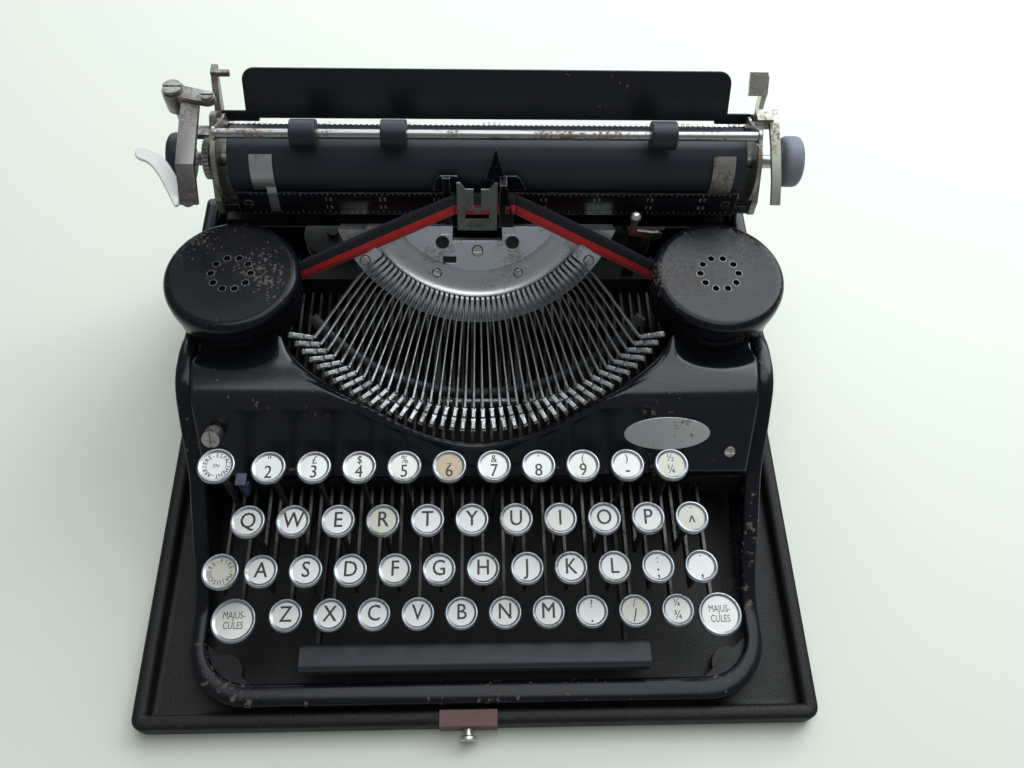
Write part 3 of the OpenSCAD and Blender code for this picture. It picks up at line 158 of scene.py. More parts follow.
def bright_metal(name, base, tarnish, rust, rough=0.22, grain=None):
    """Plated or bare metal with tarnish in clouds, rust in spots and a rubbed grain."""
    f = Finish(name, Metallic=1.0)
    cloud = f.noise(60, 5)
    fine = f.noise(700, 5)
    rub = f.noise(160, 4, grain or (1, 1, 1))
    dull = f.step(cloud * 0.8 + fine * 0.4, 0.66 - 0.16 * tarnish, 0.82 - 0.1 * tarnish)
    spots = f.step(fine * 0.6 + cloud * 0.7, 0.84 - 0.2 * rust, 0.92 - 0.2 * rust)
    dark = tuple(c * k for c, k in zip(base[:3], (0.50, 0.45, 0.38))) + (1,)
    colour = f.mix(dull * 0.8, base, dark)
    colour = f.mix(spots, colour, (0.19, 0.115, 0.08, 1))
    roughness = rough + rub * 0.16 + dull * 0.16 + spots * 0.35
    return f.surface(colour, roughness, 1 - spots * 0.85, rub * 0.35 + fine * 0.2, 0.06 * MM)


def rubber(name, base, light, rough=0.55):
    """Matt rubber, streaked along its length."""
    f = Finish(name, IOR=1.45)
    broad = f.noise(35, 5, (0.35, 1, 1))
    fine = f.noise(900, 4)
    lines = f.noise(420, 4, (0.06, 1, 1))
    colour = f.mix(broad * 0.8 + lines * 0.3, base, light)
    roughness = rough + fine * 0.2 - lines * 0.1
    return f.surface(colour, roughness, None, fine * 0.5 + lines * 0.4, 0.08 * MM)


def leatherette():
    """Pebbled black cloth on the base board, rubbed brown-grey along its edges."""
    f = Finish("leatherette", IOR=1.45, Specular_IOR_Level=0.28)
    cells = f.node("TexVoronoi", {"feature": "SMOOTH_F1"}, {"Vector": f.place, "Scale": 1100.0})
    fine = f.noise(800, 4)
    broad = f.noise(14, 5)
    edge = f.edges(2.2 * MM)
    worn = f.step(edge * 1.9 + broad * 0.75 + fine * 0.35, 0.92, 1.2)
    scuffs = f.step(f.noise(45, 7) * 0.8 + fine * 0.3, 0.66, 0.8)
    colour = f.mix(broad, (0.006, 0.0055, 0.0055, 1), (0.015, 0.013, 0.012, 1))
    colour = f.mix(scuffs * 0.55, colour, (0.075, 0.062, 0.052, 1))
    colour = f.mix(worn * 0.85, colour, f.mix(fine, (0.15, 0.115, 0.09, 1), (0.075, 0.06, 0.05, 1)))
    rough = 0.42 + cells * 0.2 + worn * 0.25
    return f.surface(colour, rough, None, cells * 0.6 + fine * 0.25 - worn * 0.5, 0.22 * MM)


def painted(name, base, light, rough=0.4, depth=0.04):
    """Paint or ink with patches of grime."""
    f = Finish(name, IOR=1.48)
    broad = f.noise(40, 5)
    fine = f.noise(600, 5)
    grime = f.step(fine * 0.5 + broad * 0.7, 0.68, 0.85)
    colour = f.mix(broad, base, light)
    colour = f.mix(grime * 0.5, colour, tuple(c * 0.45 for c in base[:3]) + (1,))
    return f.surface(colour, rough + fine * 0.2 + grime * 0.2, None, fine, depth * MM)


def key_paper(name, clean, aged):
    """Paper legend disc under a clear key top."""
    f = Finish(name, Coat_Weight=1.0, Coat_Roughness=0.06, Coat_IOR=1.5)
    broad = f.noise(30, 2)
    fine = f.noise(500, 5)
    spots = f.step(f.noise(260, 6), 0.68, 0.78)
    colour = f.mix(f.step(broad, 0.35, 0.7), clean, aged)
    colour = f.mix(spots * 0.35, colour, (0.42, 0.34, 0.24, 1))
    return f.surface(colour, 0.55 + fine * 0.15, None, fine, 0.02 * MM)


def woven(name, base, light):
    """Inked ribbon: a plain weave of fine threads."""
    f = Finish(name, IOR=1.4, Sheen_Weight=0.15)
    across = f.noise(2600, 1, (1, 0.1, 0.1))
    along = f.noise(2600, 1, (0.1, 1, 1))
    broad = f.noise(90, 4)
    threads = across * 0.5 + along * 0.5
    colour = f.mix(broad * 0.7 + threads * 0.4, base, light)
    return f.surface(colour, 0.62 + threads * 0.2, None, threads, 0.05 * MM)


def type_metal(name, base, dirt):
    """The dull steel of the typebars, dirty in patches."""
    f = Finish(name, Metallic=1.0)
    cloud = f.noise(110, 4)
    fine = f.noise(1500, 4)
    grimy = f.step(cloud * 0.7 + fine * 0.5, 0.52, 0.78)
    colour = f.mix(grimy * dirt, base, (0.045, 0.04, 0.036, 1))
    roughness = 0.3 + grimy * 0.3 + fine * 0.1
    return f.surface(colour, roughness, 1 - grimy * 0.5 * dirt, fine, 0.05 * MM)


ENAMEL = enamel("enamel", 0.55, 0.25, shine=0.32)
COVER_ENAMEL = enamel("cover_enamel", 0.35, 0.12, 0.13)
LID_ENAMEL = enamel("lid_enamel", 0.6, 0.58, 0.17, speck=1.9, shine=0.28)
TABLE_ENAMEL = enamel("table_enamel", 0.3, -0.4, 0.2)
NICKEL = bright_metal("nickel", (0.66, 0.64, 0.60, 1), 0.55, 0.25)
KEY_NICKEL = bright_metal("key_nickel", (0.36, 0.38, 0.40, 1), 0.45, 0.02, 0.26)
ROD_NICKEL = bright_metal("rod_nickel", (0.40, 0.395, 0.39, 1), 0.7, 0.75, 0.24, (0.1, 1, 1))
STEEL = bright_metal("steel", (0.50, 0.50, 0.50, 1), 0.6, 0.35, 0.32, (0.2, 1, 1))
CAST_STEEL = bright_metal("cast_steel", (0.73, 0.75, 0.77, 1), 0.3, 0.1, 0.34, (1, 0.2, 1))
OVAL_STEEL = bright_metal("oval_steel", (0.70, 0.71, 0.70, 1), 0.1, 0.35, 0.42)
LEVER_STEEL = bright_metal("lever_steel", (0.085, 0.083, 0.08, 1), 0.8, 0.12, 0.42, (1, 0.1, 1))
CHANNEL_STEEL = bright_metal("channel_steel", (0.62, 0.62, 0.62, 1), 0.2, 0.1, 0.3, (1, 0.2, 1))
SATIN_STEEL = bright_metal("satin_steel", (0.34, 0.34, 0.34, 1), 0.3, 0.1, 0.45)
END_METAL = bright_metal("end_metal", (0.34, 0.33, 0.29, 1), 0.75, 0.55, 0.36)
RETURN_METAL = bright_metal("return_metal", (0.31, 0.29, 0.285, 1), 0.9, 0.12, 0.3, (1, 0.15, 1))
RUSTY_STEEL = bright_metal("rusty_steel", (0.38, 0.35, 0.32, 1), 0.9, 0.85, 0.38)
BAR_STEEL = type_metal("bar_steel", (0.20, 0.20, 0.205, 1), 0.85)
SLUG_STEEL = type_metal("slug_steel", (0.46, 0.46, 0.46, 1), 0.75)
IRON = painted("iron", (0.005, 0.005, 0.006, 1), (0.012, 0.012, 0.012, 1), 0.55)
LEATHERETTE = leatherette()
RUBBER = rubber("platen_rubber", (0.008, 0.011, 0.017, 1), (0.020, 0.026, 0.037, 1), 0.42)
KNOB_RUBBER = rubber("knob_rubber", (0.14, 0.16, 0.19, 1), (0.22, 0.25, 0.29, 1), 0.6)
FOOT_RUBBER = rubber("foot_rubber", (0.02, 0.02, 0.02, 1), (0.05, 0.045, 0.04, 1), 0.7)
SPACE_PAINT = painted("space_paint", (0.008, 0.010, 0.016, 1), (0.016, 0.020, 0.029, 1), 0.36)
RUST_PLATE = painted("rust_plate", (0.085, 0.040, 0.030, 1), (0.155, 0.085, 0.065, 1), 0.5, 0.2)
BLUE_PAINT = painted("blue_paint", (0.032, 0.045, 0.075, 1), (0.06, 0.08, 0.125, 1), 0.35)
CREAM = painted("cream", (0.74, 0.74, 0.70, 1), (0.82, 0.82, 0.79, 1), 0.2)
PAPER = key_paper("key_paper", (0.70, 0.71, 0.68, 1), (0.64, 0.63, 0.57, 1))
CREAM_PAPER = key_paper("cream_paper", (0.55, 0.53, 0.44, 1), (0.49, 0.46, 0.37, 1))
TAN_PAPER = key_paper("tan_paper", (0.40, 0.29, 0.155, 1), (0.34, 0.24, 0.125, 1))
INK = painted("ink", (0.010, 0.010, 0.012, 1), (0.02, 0.02, 0.022, 1), 0.35)
SCALE_INK = painted("scale_ink", (0.30, 0.30, 0.28, 1), (0.42, 0.42, 0.40, 1), 0.5)
RED_RIBBON = woven("red_ribbon", (0.74, 0.020, 0.022, 1), (0.86, 0.040, 0.038, 1))
BLACK_RIBBON = woven("black_ribbon", (0.010, 0.011, 0.014, 1), (0.030, 0.033, 0.040, 1))


# Mesh making


def piece(name, mesh, materials, body, replaces=()):
    """Links a mesh as a piece that rides on a body and, where asked, stands for CAD nodes."""
    made = bpy.data.objects.new(name, mesh)
    bpy.context.scene.collection.objects.link(made)
    for material in materials if isinstance(materials, (list, tuple)) else [materials]:
        mesh.materials.append(material)
    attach(made, body)
    if replaces:
        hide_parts(*replaces)
    return made


def smooth(mesh, angle=35):
    """Shades a mesh smooth, except at edges sharper than the angle."""
    mesh.polygons.foreach_set("use_smooth", [True] * len(mesh.polygons))
    mesh.set_sharp_from_angle(angle=math.radians(angle))


def mesh_of(name, points, faces, indices=None):
    """A mesh in metres from points in millimetres, with its faces turned outwards."""
    mesh = bpy.data.meshes.new(name)
    mesh.from_pydata([Vector(p) * MM for p in points], [], faces)
    if indices:
        mesh.polygons.foreach_set("material_index", indices)
    bm = bmesh.new()
    bm.from_mesh(mesh)
    bmesh.ops.recalc_face_normals(bm, faces=bm.faces)
    bm.to_mesh(mesh)
    bm.free()
    return mesh


def eased(node, width, material, angle=32, segments=3, cut_above=None):
    """A copy of a CAD node with its edges rounded over, without what is above a given height."""
    mesh = frame["nodes"][node].data.copy()
    mesh.materials.clear()
    bm = bmesh.new()
    bm.from_mesh(mesh)
    bmesh.ops.remove_doubles(bm, verts=bm.verts, dist=0.002 * MM)
    bmesh.ops.dissolve_limit(bm, angle_limit=math.radians(0.4), verts=bm.verts, edges=bm.edges)
    if cut_above is not None:
        everything = bm.verts[:] + bm.edges[:] + bm.faces[:]
        level = (0, 0, cut_above * MM)
        bmesh.ops.bisect_plane(bm, geom=everything, plane_co=level, plane_no=(0, 0, 1),
            clear_outer=True)
    bm.to_mesh(mesh)
    bm.free()
    smooth(mesh)
    made = piece(node + "_eased", mesh, material, body_name(node), (node,))
    rounding = made.modifiers.new("rounding", "BEVEL")
    rounding.width = width * MM
    rounding.segments = segments
    rounding.limit_method = "ANGLE"
    rounding.angle_limit = math.radians(angle)
    rounding.harden_normals = True
    return made


def body_name(node):
    """The body that a CAD node rides on."""
    bodies = frame["record"]["behaviour"]["bodies"]
    return next(body for body, nodes in bodies.items() if node in nodes)


def dress(material, *nodes):
    """Gives CAD nodes a material and leaves their shapes as they are."""
    for node in nodes:
        data = frame["nodes"][node].data
        data.materials.clear()
        data.materials.append(material)


def turned(profile, place, sides=64):
    """Points and faces of a profile of (radius, height) turned about the axis of a matrix."""
    points, faces = [], []
    for radius, height in profile:
        for k in range(sides):
            a = 2 * math.pi * k / sides
            points.append(place @ Vector((radius * math.cos(a), radius * math.sin(a), height)))
    for i in range(len(profile) - 1):
        for k in range(sides):
            n = (k + 1) % sides
            faces.append((i * sides + k, i * sides + n, (i + 1) * sides + n, (i + 1) * sides + k))
    faces.append(tuple(reversed(range(sides))))
    last = (len(profile) - 1) * sides
    faces.append(tuple(range(last, last + sides)))
    return points, faces


def skin(loops, closed=True, cap=False):
    """Points and faces between rows of points, each row as long as the others."""
    count = len(loops[0])
    points = [p for loop in loops for p in loop]
    faces = []
    for i in range(len(loops) - 1):
        for k in range(count if closed else count - 1):
            n = (k + 1) % count
            faces.append((i * count + k, i * count + n, (i + 1) * count + n, (i + 1) * count + k))
    if cap:
        faces.append(tuple(reversed(range(count))))
        last = (len(loops) - 1) * count
        faces.append(tuple(range(last, last + count)))
    return points, faces


def joined(parts):
    """Several (points, faces) lists as one."""
    points, faces = [], []
    for more_points, more_faces in parts:
        base = len(points)
        points += list(more_points)
        faces += [tuple(base + i for i in face) for face in more_faces]
    return points, faces


def prism(outline, low, high, place=Matrix.Identity(4)):
    """An outline of (x, y) raised from one height to another."""
    loops = [[place @ Vector((x, y, z)) for x, y in outline] for z in (low, high)]
    return skin(loops, True, True)


def shift(x, y, z):
    return Matrix.Translation((x, y, z))


def turn(degrees, axis):
    return Matrix.Rotation(math.radians(degrees), 4, axis)


LAYER = 0.004


def lettering(text, size, place, narrow=1.0, bold=0.0):
    """Flat letters centred on the origin of a matrix. Bold ones are laid twice, a little apart."""
    curve = bpy.data.curves.new("letters", "FONT")
    curve.body = text
    curve.size = size
    curve.align_x = "CENTER"
    curve.align_y = "CENTER"
    curve.resolution_u = 3
    holder = bpy.data.objects.new("letters", curve)
    mesh = bpy.data.meshes.new_from_object(holder)
    strokes = []
    for k in (-1, 1) if bold else (0,):
        points = [place @ Vector((v.co.x * narrow + k * bold * size, v.co.y + k * bold * size / 2,
            k * LAYER)) for v in mesh.vertices]
        strokes.append((points, [tuple(p.vertices) for p in mesh.polygons]))
    bpy.data.objects.remove(holder)
    bpy.data.curves.remove(curve)
    bpy.data.meshes.remove(mesh)
    return joined(strokes)


def letters_piece(name, parts, material, body):
    """A piece of flat letters or marks, whose faces keep the side they face."""
    mesh = bpy.data.meshes.new(name)
    points, faces = joined(parts)
    mesh.from_pydata([Vector(p) * MM for p in points], [], faces)
    return piece(name, mesh, material, body)


# Base board


def rounded_loop(width, depth, radius, inset, height, steps=8):
    """A rectangle with round corners, as one row of points."""
    r = max(radius - inset, 0.6)
    hw, hd = width / 2 - inset - r, depth / 2 - inset - r
    loop = []
    for sx, sy, start in ((1, 1, 0), (-1, 1, 90), (-1, -1, 180), (1, -1, 270)):
        for k in range(steps + 1):
            a = math.radians(start + 90 * k / steps)
            loop.append((sx * hw + r * math.cos(a), sy * hd + r * math.sin(a), height))
    return loop


BOARD_WIDTH, BOARD_DEPTH, BOARD_CORNER = 308, 300, 6


def base_board():
    """The board and its raised rim, as (inset from the edge, height) swept round the outline."""
    section = [(1.2, 0), (0.3, 0.4), (0, 1.2), (0, 8.8), (0.5, 10.2), (1.7, 10.9), (3.0, 11),
        (5.0, 10.9), (6.2, 10.3), (6.8, 9.2), (7, 7.5), (7.1, 5.2), (8, 4.3), (10, 4)]
    loops = [rounded_loop(BOARD_WIDTH, BOARD_DEPTH, BOARD_CORNER, inset, z) for inset, z in section]
    mesh = mesh_of("board", *skin(loops, True, True))
    smooth(mesh, 50)
    piece("board", mesh, LEATHERETTE, "machine", ("base_board",))


# Frame

CUP_X = 113
CUP_Y = 34.2
HALF_FRONT, HALF_REAR = 131.5, 137.5
FRONT_Y, REAR_Y, CORNER_R = -141.5, 112, 28
WALL, FRONT_RAIL = 7.5, 10
FLARE_FROM, FLARE_LENGTH = -80, 75
WALL_FOOT, RIM_RISE = 9, 2.6
CUP_REST_HALF, CUP_REST_Z = 24, 74.6
PAD_LOW, PAD_TOP, PAD_INNER = 9.2, 12, 102
# Per pair of pads: x at the side, then y at the square corner and at the tip
FOOT_PADS = [(124.5, -132, -113), (130.5, 104.5, 83.5)]


def frame_half(y):
    """Half the width of the frame, which is wider towards the rear."""
    return HALF_FRONT + (HALF_REAR - HALF_FRONT) * min(max((y - FLARE_FROM) / FLARE_LENGTH, 0), 1)


def frame_plan():
    """The frame's outer face seen from above, anticlockwise from the middle of the front."""
    right = [(x, FRONT_Y) for x in (15, 45, 75, 95)]
    for k in range(17):
        a = math.radians(270 + 90 * k / 16)
        x = HALF_FRONT + CORNER_R * (math.cos(a) - 1)
        right.append((x, FRONT_Y + CORNER_R * (1 + math.sin(a))))
    right += [(frame_half(y), y) for y in range(-110, 104, 3)]
    right += [(HALF_REAR, y) for y in (104, 106, 108, 110)]
    right += [(HALF_REAR - 0.6, 111.4), (HALF_REAR - 2, REAR_Y)]
    right += [(x, REAR_Y) for x in (120, 90, 60, 30)]
    return right + [(-x, y) for x, y in reversed(right)]


def side_height(y):
    """Top of the frame's wall along its side."""
    if abs(y - CUP_Y) < CUP_REST_HALF:
        return CUP_REST_Z
    line = [(-200, 16), (-98, 16), (-90, 20), (-74, 31), (-43, 46), (-29, 63), (-16, 76), (-10, 78),
        (98, 78), (106, 60), (200, 60)]
    for (y0, z0), (y1, z1) in zip(line, line[1:]):
        if y0 <= y <= y1:
            return z0 + (z1 - z0) * (y - y0) / (y1 - y0)
    return 16


def eased_height(y):
    """The wall's top with its corners taken off."""
    spread = [-4, -2, 0, 2, 4]
    return sum(side_height(y + d) for d in spread) / len(spread)


def frame_walls():
    """The walls as one loop of rounded sections, and the gussets over the feet."""
    path = frame_plan()
    count = len(path)
    loops = []
    for i, (x, y) in enumerate(path):
        px, py = path[i - 1]
        nx, ny = path[(i + 1) % count]
        along = Vector((nx - px, ny - py)).normalized()
        inward = Vector((-along.y, along.x))
        width = WALL + (FRONT_RAIL - WALL) * max(inward.y, 0)
        top = eased_height(y) - RIM_RISE
        loop = [(x + inward.x * 0.4, y + inward.y * 0.4, WALL_FOOT)]
        for k in range(13):
            a = math.pi * k / 12
            across = width * (0.5 - 0.5 * math.copysign(abs(math.cos(a)) ** 0.8, math.cos(a)))
            rise = top + RIM_RISE * math.sin(a) ** 0.55
            loop.append((x + inward.x * across, y + inward.y * across, rise))
        inner = width - 0.4
        loop.append((x + inward.x * inner, y + inward.y * inner, WALL_FOOT))
        loops.append(loop)
    loops.append(loops[0])
    points, faces = skin(loops, True)
    mesh = mesh_of("frame", points, faces)
    bm = bmesh.new()
    bm.from_mesh(mesh)
    bmesh.ops.remove_doubles(bm, verts=bm.verts, dist=0.01 * MM)
    bmesh.ops.recalc_face_normals(bm, faces=bm.faces)
    bm.to_mesh(mesh)
    bm.free()
    smooth(mesh, 60)
    piece("frame_walls", mesh, ENAMEL, "machine", ("main_frame",))
    pads = []
    for sx in (-1, 1):
        for outer, near, far in FOOT_PADS:
            outline = [(sx * PAD_INNER, near), (sx * outer, near), (sx * outer, far)]
            pads.append(prism(outline, PAD_LOW, PAD_TOP))
    mesh = mesh_of("frame_pads", *joined(pads))
    smooth(mesh)
    piece("frame_pads", mesh, IRON, "machine")


# Cover

BASKET_RADIUS = 120
BASKET_Y = 87.4
ROLL, ROLL_HALF = 6.0, 95
BASKET_HALF = 91
COVER_FRONT_Y, COVER_FRONT_Z, COVER_TOP = -46, 46, 80.0
COVER_RISE, COVER_RUN, COVER_EASE = 34, 26, 6
HOLLOW_DEPTH, HOLLOW_HALF = 4.0, 34
CUP_R, CUP_SEAT_Z = 27, 75.6
SEAT_R, SEAT_FADE = 31.5, 42
SHOULDER_Y, SHOULDER_RISE = 10, 7.5
COVER_HALF, COVER_SPREAD = 129, 95
SHEET = 1.6


def soft_step(value, low, high):
    """From 0 at low to 1 at high, level at both ends."""
    t = min(max((value - low) / (high - low), 0), 1)
    return t * t * (3 - 2 * t)


def rim_y(x):
    """Rear edge of the cover: the basket rim in the middle, then under the cups."""
    if abs(x) <= BASKET_HALF:
        return BASKET_Y - math.sqrt(BASKET_RADIUS**2 - x * x)
    under = CUP_Y - math.sqrt(max(CUP_R**2 - (abs(x) - CUP_X) ** 2, 0))
    middle = rim_y(BASKET_HALF)
    return middle + (under - middle) * soft_step(abs(x), BASKET_HALF, BASKET_HALF + 6)


def cover_height(x, y):
    """Height of the cover's outer face: slope, flat top, rolled rim, cup seats and shoulders."""
    slope = COVER_FRONT_Z + (y - COVER_FRONT_Y) * COVER_RISE / COVER_RUN
    gap = slope - COVER_TOP
    if gap < -COVER_EASE:
        z = slope
    elif gap < 40:
        z = COVER_TOP - COVER_EASE * math.exp(-(gap + COVER_EASE) / COVER_EASE)
    else:
        z = COVER_TOP
    z -= HOLLOW_DEPTH * math.exp(-((x / HOLLOW_HALF) ** 2)) * soft_step(y, -44, -34)
    rim = math.hypot(x, BASKET_Y - y) - BASKET_RADIUS
    if abs(x) < ROLL_HALF and rim < ROLL:
        z -= ROLL - math.sqrt(max(ROLL**2 - (ROLL - max(rim, 0.05)) ** 2, 0))
    to_cup = math.hypot(abs(x) - CUP_X, y - CUP_Y)
    seat = 1 - soft_step(to_cup, SEAT_R, SEAT_FADE)
    shoulder = math.exp(-(((abs(x) - BASKET_HALF) / 7) ** 2) - (((y - SHOULDER_Y) / 8) ** 2))
    z = z * (1 - seat) + CUP_SEAT_Z * seat
    return z + SHOULDER_RISE * shoulder


def cover():
    """The pressed front cover, as columns of points from its front edge back to its rim."""
    rows, columns = 44, 180
    loops = []
    for i in range(columns + 1):
        x = -COVER_HALF + 2 * COVER_HALF * i / columns
        back = rim_y(x)
        loop = []
        for j in range(rows + 1):
            y = COVER_FRONT_Y + (back - COVER_FRONT_Y) * (1 - (1 - j / rows) ** 1.7)
            room = frame_half(y) - WALL - 0.5 - COVER_SPREAD
            outer = max(abs(x) - COVER_SPREAD, 0) * room / (COVER_HALF - COVER_SPREAD)
            px = math.copysign(min(abs(x), COVER_SPREAD) + outer, x)
            loop.append((px, y, cover_height(px, y)))
        loops.append(loop)
    points, faces = skin(loops, False)
    mesh = mesh_of("cover", points, faces)
    smooth(mesh, 80)
    made = piece("cover", mesh, COVER_ENAMEL, "machine", ("front_cover",))
    thick = made.modifiers.new("thick", "SOLIDIFY")
    thick.thickness = SHEET * MM
    thick.offset = -1


# Spool lids

VENTS, VENT_RING, VENT_R = 10, 9, 1.6


def lids():
    """Two pressed lids, each with a ring of round vents cut through its top."""
    profile = [(28.6, 88), (29.8, 87.9), (30.9, 88.1), (31, 89), (31, 93.4), (30.6, 95.1),
        (29.6, 96.4), (28.2, 97), (26.5, 97.0), (24, 96.75), (12, 96.7), (4, 96.7)]
    for side, node, body in ((-1, "left_lid", "lid_left"), (1, "right_lid", "lid_right")):
        place = shift(side * CUP_X, CUP_Y, 0)
        mesh = mesh_of(node, *turned(profile, place, 96))
        smooth(mesh, 50)
        made = piece(node + "_shell", mesh, LID_ENAMEL, body, (node,))
        vents = []
        for k in range(VENTS):
            spot = place @ turn(k * 360 / VENTS, "Z") @ shift(VENT_RING, 0, 0)
            vents.append(turned([(VENT_R, 94), (VENT_R, 98)], spot, 20))
        cutter_mesh = mesh_of(node + "_vents", *joined(vents))
        cutter = bpy.data.objects.new(node + "_vents", cutter_mesh)
        bpy.context.scene.collection.objects.link(cutter)
        cut = made.modifiers.new("vents", "BOOLEAN")
        cut.object = cutter
        cut.solver = "EXACT"
        apply_modifiers(made)
        bpy.data.objects.remove(cutter)
        smooth(made.data, 40)


def apply_modifiers(made):
    """Makes a piece's modifiers part of its mesh."""
    depsgraph = bpy.context.evaluated_depsgraph_get()
    mesh = bpy.data.meshes.new_from_object(made.evaluated_get(depsgraph))
    made.modifiers.clear()
    made.data = mesh


# Keys

PITCH = 19.05
FIRST_X = -98.2
NUMBER_Z, UPPER_Z, HOME_Z, LOWER_Z = 83.5, 69, 56, 42.5
# Per row: offset of its first key in quarters of a pitch, y, height of the key tops, legends
ROWS = {
    "number_row": (2, -57, NUMBER_Z,
        ['"|2', "£|3", "$|4", "%|5", "_|6", "&|7", "'|8", "(|9", ")|-", "½|¼"]),
    "upper_row": (0, -75.5, UPPER_Z, list("QWERTYUIOP") + ["¨|^"]),
    "home_row": (1, -93, HOME_Z, list("ASDFGHJKL") + [":|;", "`|,"]),
    "lower_row": (3, -108.5, LOWER_Z, list("ZXCVBNM") + ["?|.", "/|/", "¼|¾"]),
}
KEY_R = 7.4
TAN_KEYS = {"_|6"}
CREAM_KEYS = {"R", "½|¼", "/|/", "¨|^"}
DISC_DROP = 0.84
LEGEND_DROP = DISC_DROP - 0.03
RING = 1.85
HEAD_DEPTH = 3.6
# x, y, height of the top, radius
SHIFT_KEY = (106, -110.5, LOWER_Z, 9.7)
BACKSPACE_KEY = (-110.6, -56, NUMBER_Z, 8)
SHIFT_LOCK_KEY = (-110.6, -93, HOME_Z, 8)


def head_parts(x, y, z, radius):
    """The nickel ring of a key: rounded outside, bevelled inside, closed below."""
    profile = [(-1.6, -3.6), (-0.2, -2.5), (0, -2.2), (0, -1.0), (-0.12, -0.5), (-0.35, -0.15),
        (-0.7, 0), (-1.0, -0.08), (-RING, -0.9)]
    return turned([(radius + r, z + h) for r, h in profile], shift(x, y, 0), 48)


def disc_parts(x, y, z, radius):
    """The paper disc inside a key's ring."""
    top = z - DISC_DROP
    inner = radius - RING
    return turned([(inner, top - 0.1), (inner, top), (2, top)], shift(x, y, 0), 40)


def legend_parts(text, x, y, z):
    """One character, or two as "upper|lower"."""
    level = z - LEGEND_DROP
    if "|" in text:
        upper, lower = text.split("|")
        size = 5.6 if lower in "¼¾" else 8.2
        return [
            lettering(upper, 5.0, shift(x, y + 3.2, level), 0.88, 0.006),
            lettering(lower, size, shift(x, y - 2.3, level), 0.84, 0.008),
        ]
    return [lettering(text, 9.9, shift(x, y + 0.2, level), 0.86, 0.009)]


def curved_words(words, x, y, z, radius, size):
    """Letters set around the edge of a key, reading clockwise."""
    parts = []
    step = 360 / len(words)
    for k, letter in enumerate(words):
        if letter != " ":
            place = shift(x, y, z) @ turn(-k * step, "Z") @ shift(0, radius, 0)
            parts.append(lettering(letter, size, place, 0.85, 0.012))
    return parts


def keys():
    """Rings, discs and legends of all keys, over their eased stems and levers."""
    for row, (first, y, z, legends) in ROWS.items():
        papers = {"plain": [], "cream": [], "tan": []}
        marks, heads = [], []
        for i, text in enumerate(legends):
            x = FIRST_X + (first + 4 * i) * PITCH / 4
            kind = "tan" if text in TAN_KEYS else "cream" if text in CREAM_KEYS else "plain"
            if row == "home_row" and text == "H":
                add_discs("centre_letter", {"plain": [disc_parts(x, y, z, KEY_R)]})
                add_heads("centre_letter", [head_parts(x, y, z, KEY_R)])
                letters_piece("centre_letter_legend", legend_parts(text, x, y, z), INK,
                    "centre_letter")
                continue
            papers[kind].append(disc_parts(x, y, z, KEY_R))
            heads.append(head_parts(x, y, z, KEY_R))
            marks += legend_parts(text, x, y, z)
        add_discs(row, papers)
        add_heads(row, heads)
        letters_piece(row + "_legends", marks, INK, row)
    x, y, z, radius = SHIFT_KEY
    add_discs("shift", {"plain": [disc_parts(s * x, y, z, radius) for s in (-1, 1)]})
    add_heads("shift", [head_parts(s * x, y, z, radius) for s in (-1, 1)])
    marks = []
    for s in (-1, 1):
        for line, dy in (("MAJUS-", 2.2), ("CULES", -2.2)):
            marks.append(lettering(line, 4.5, shift(s * x, y + dy, z - LEGEND_DROP), 0.68))
    letters_piece("shift_legends", marks, INK, "shift")
    x, y, z, radius = BACKSPACE_KEY
    add_discs("backspace", {"plain": [disc_parts(x, y, z, radius)]})
    add_heads("backspace", [head_parts(x, y, z, radius)])
    marks = curved_words("ESPACEMENT-ARRIERE-", x, y, z - LEGEND_DROP, 4.8, 2.7)
    marks.append(lettering("EN", 2.3, shift(x, y, z - LEGEND_DROP), 0.9, 0.004))
    letters_piece("backspace_legend", marks, INK, "backspace")
    x, y, z, radius = SHIFT_LOCK_KEY
    add_discs("shift_lock", {"cream": [disc_parts(x, y, z, radius)]})
    add_heads("shift_lock", [head_parts(x, y, z, radius)])
    marks = curved_words("FIXE-MAJUSCULES-", x, y, z - LEGEND_DROP, 4.7, 2.7)
    letters_piece("shift_lock_legend", marks, INK, "shift_lock")
    tops = {"number_keys": NUMBER_Z, "upper_keys": UPPER_Z, "home_keys": HOME_Z,
        "centre_key": HOME_Z, "lower_keys": LOWER_Z, "shift_keys": LOWER_Z,
        "backspace_key": NUMBER_Z, "shift_lock_key": HOME_Z}
    for node, top in tops.items():
        eased(node, 0.15, LEVER_STEEL, cut_above=top - HEAD_DEPTH + 0.3)


def add_heads(body, parts):
    """The nickel rings of one body, as one piece."""
    mesh = mesh_of(body + "_heads", *joined(parts))
    smooth(mesh, 50)
    piece(body + "_heads", mesh, KEY_NICKEL, body)


def add_discs(body, papers):
    """The paper discs of one body, as one piece for each colour."""
    finishes = {"plain": PAPER, "cream": CREAM_PAPER, "tan": TAN_PAPER}
    for kind, parts in papers.items():
        if parts:
            mesh = mesh_of(f"{body}_{kind}_discs", *joined(parts))
            smooth(mesh)
            piece(f"{body}_{kind}_discs", mesh, finishes[kind], body)


# Type action

SEG_Y, SEG_Z, SEG_TILT = 73, 115.5, 55
FULCRUM_R, FULCRUM_Z, BAR_REST = 64.1, -3, 63.3
BAR_PITCH, BAR_COUNT, BAR_LENGTH = 2.517, 42, 61.8
CENTRE_BAR = 21
SLUG_TILT, SLUG_HALF = 21, 1.1
FACE_FOOT, FACE_TOP, FACE_HALF = 0.7, 2.0, 2.2
BAR_EDGE = 0.18


def on_segment():
    """The tilted frame of the segment, with the typing centre as its origin."""
    return shift(0, SEG_Y, SEG_Z) @ turn(SEG_TILT, "X")


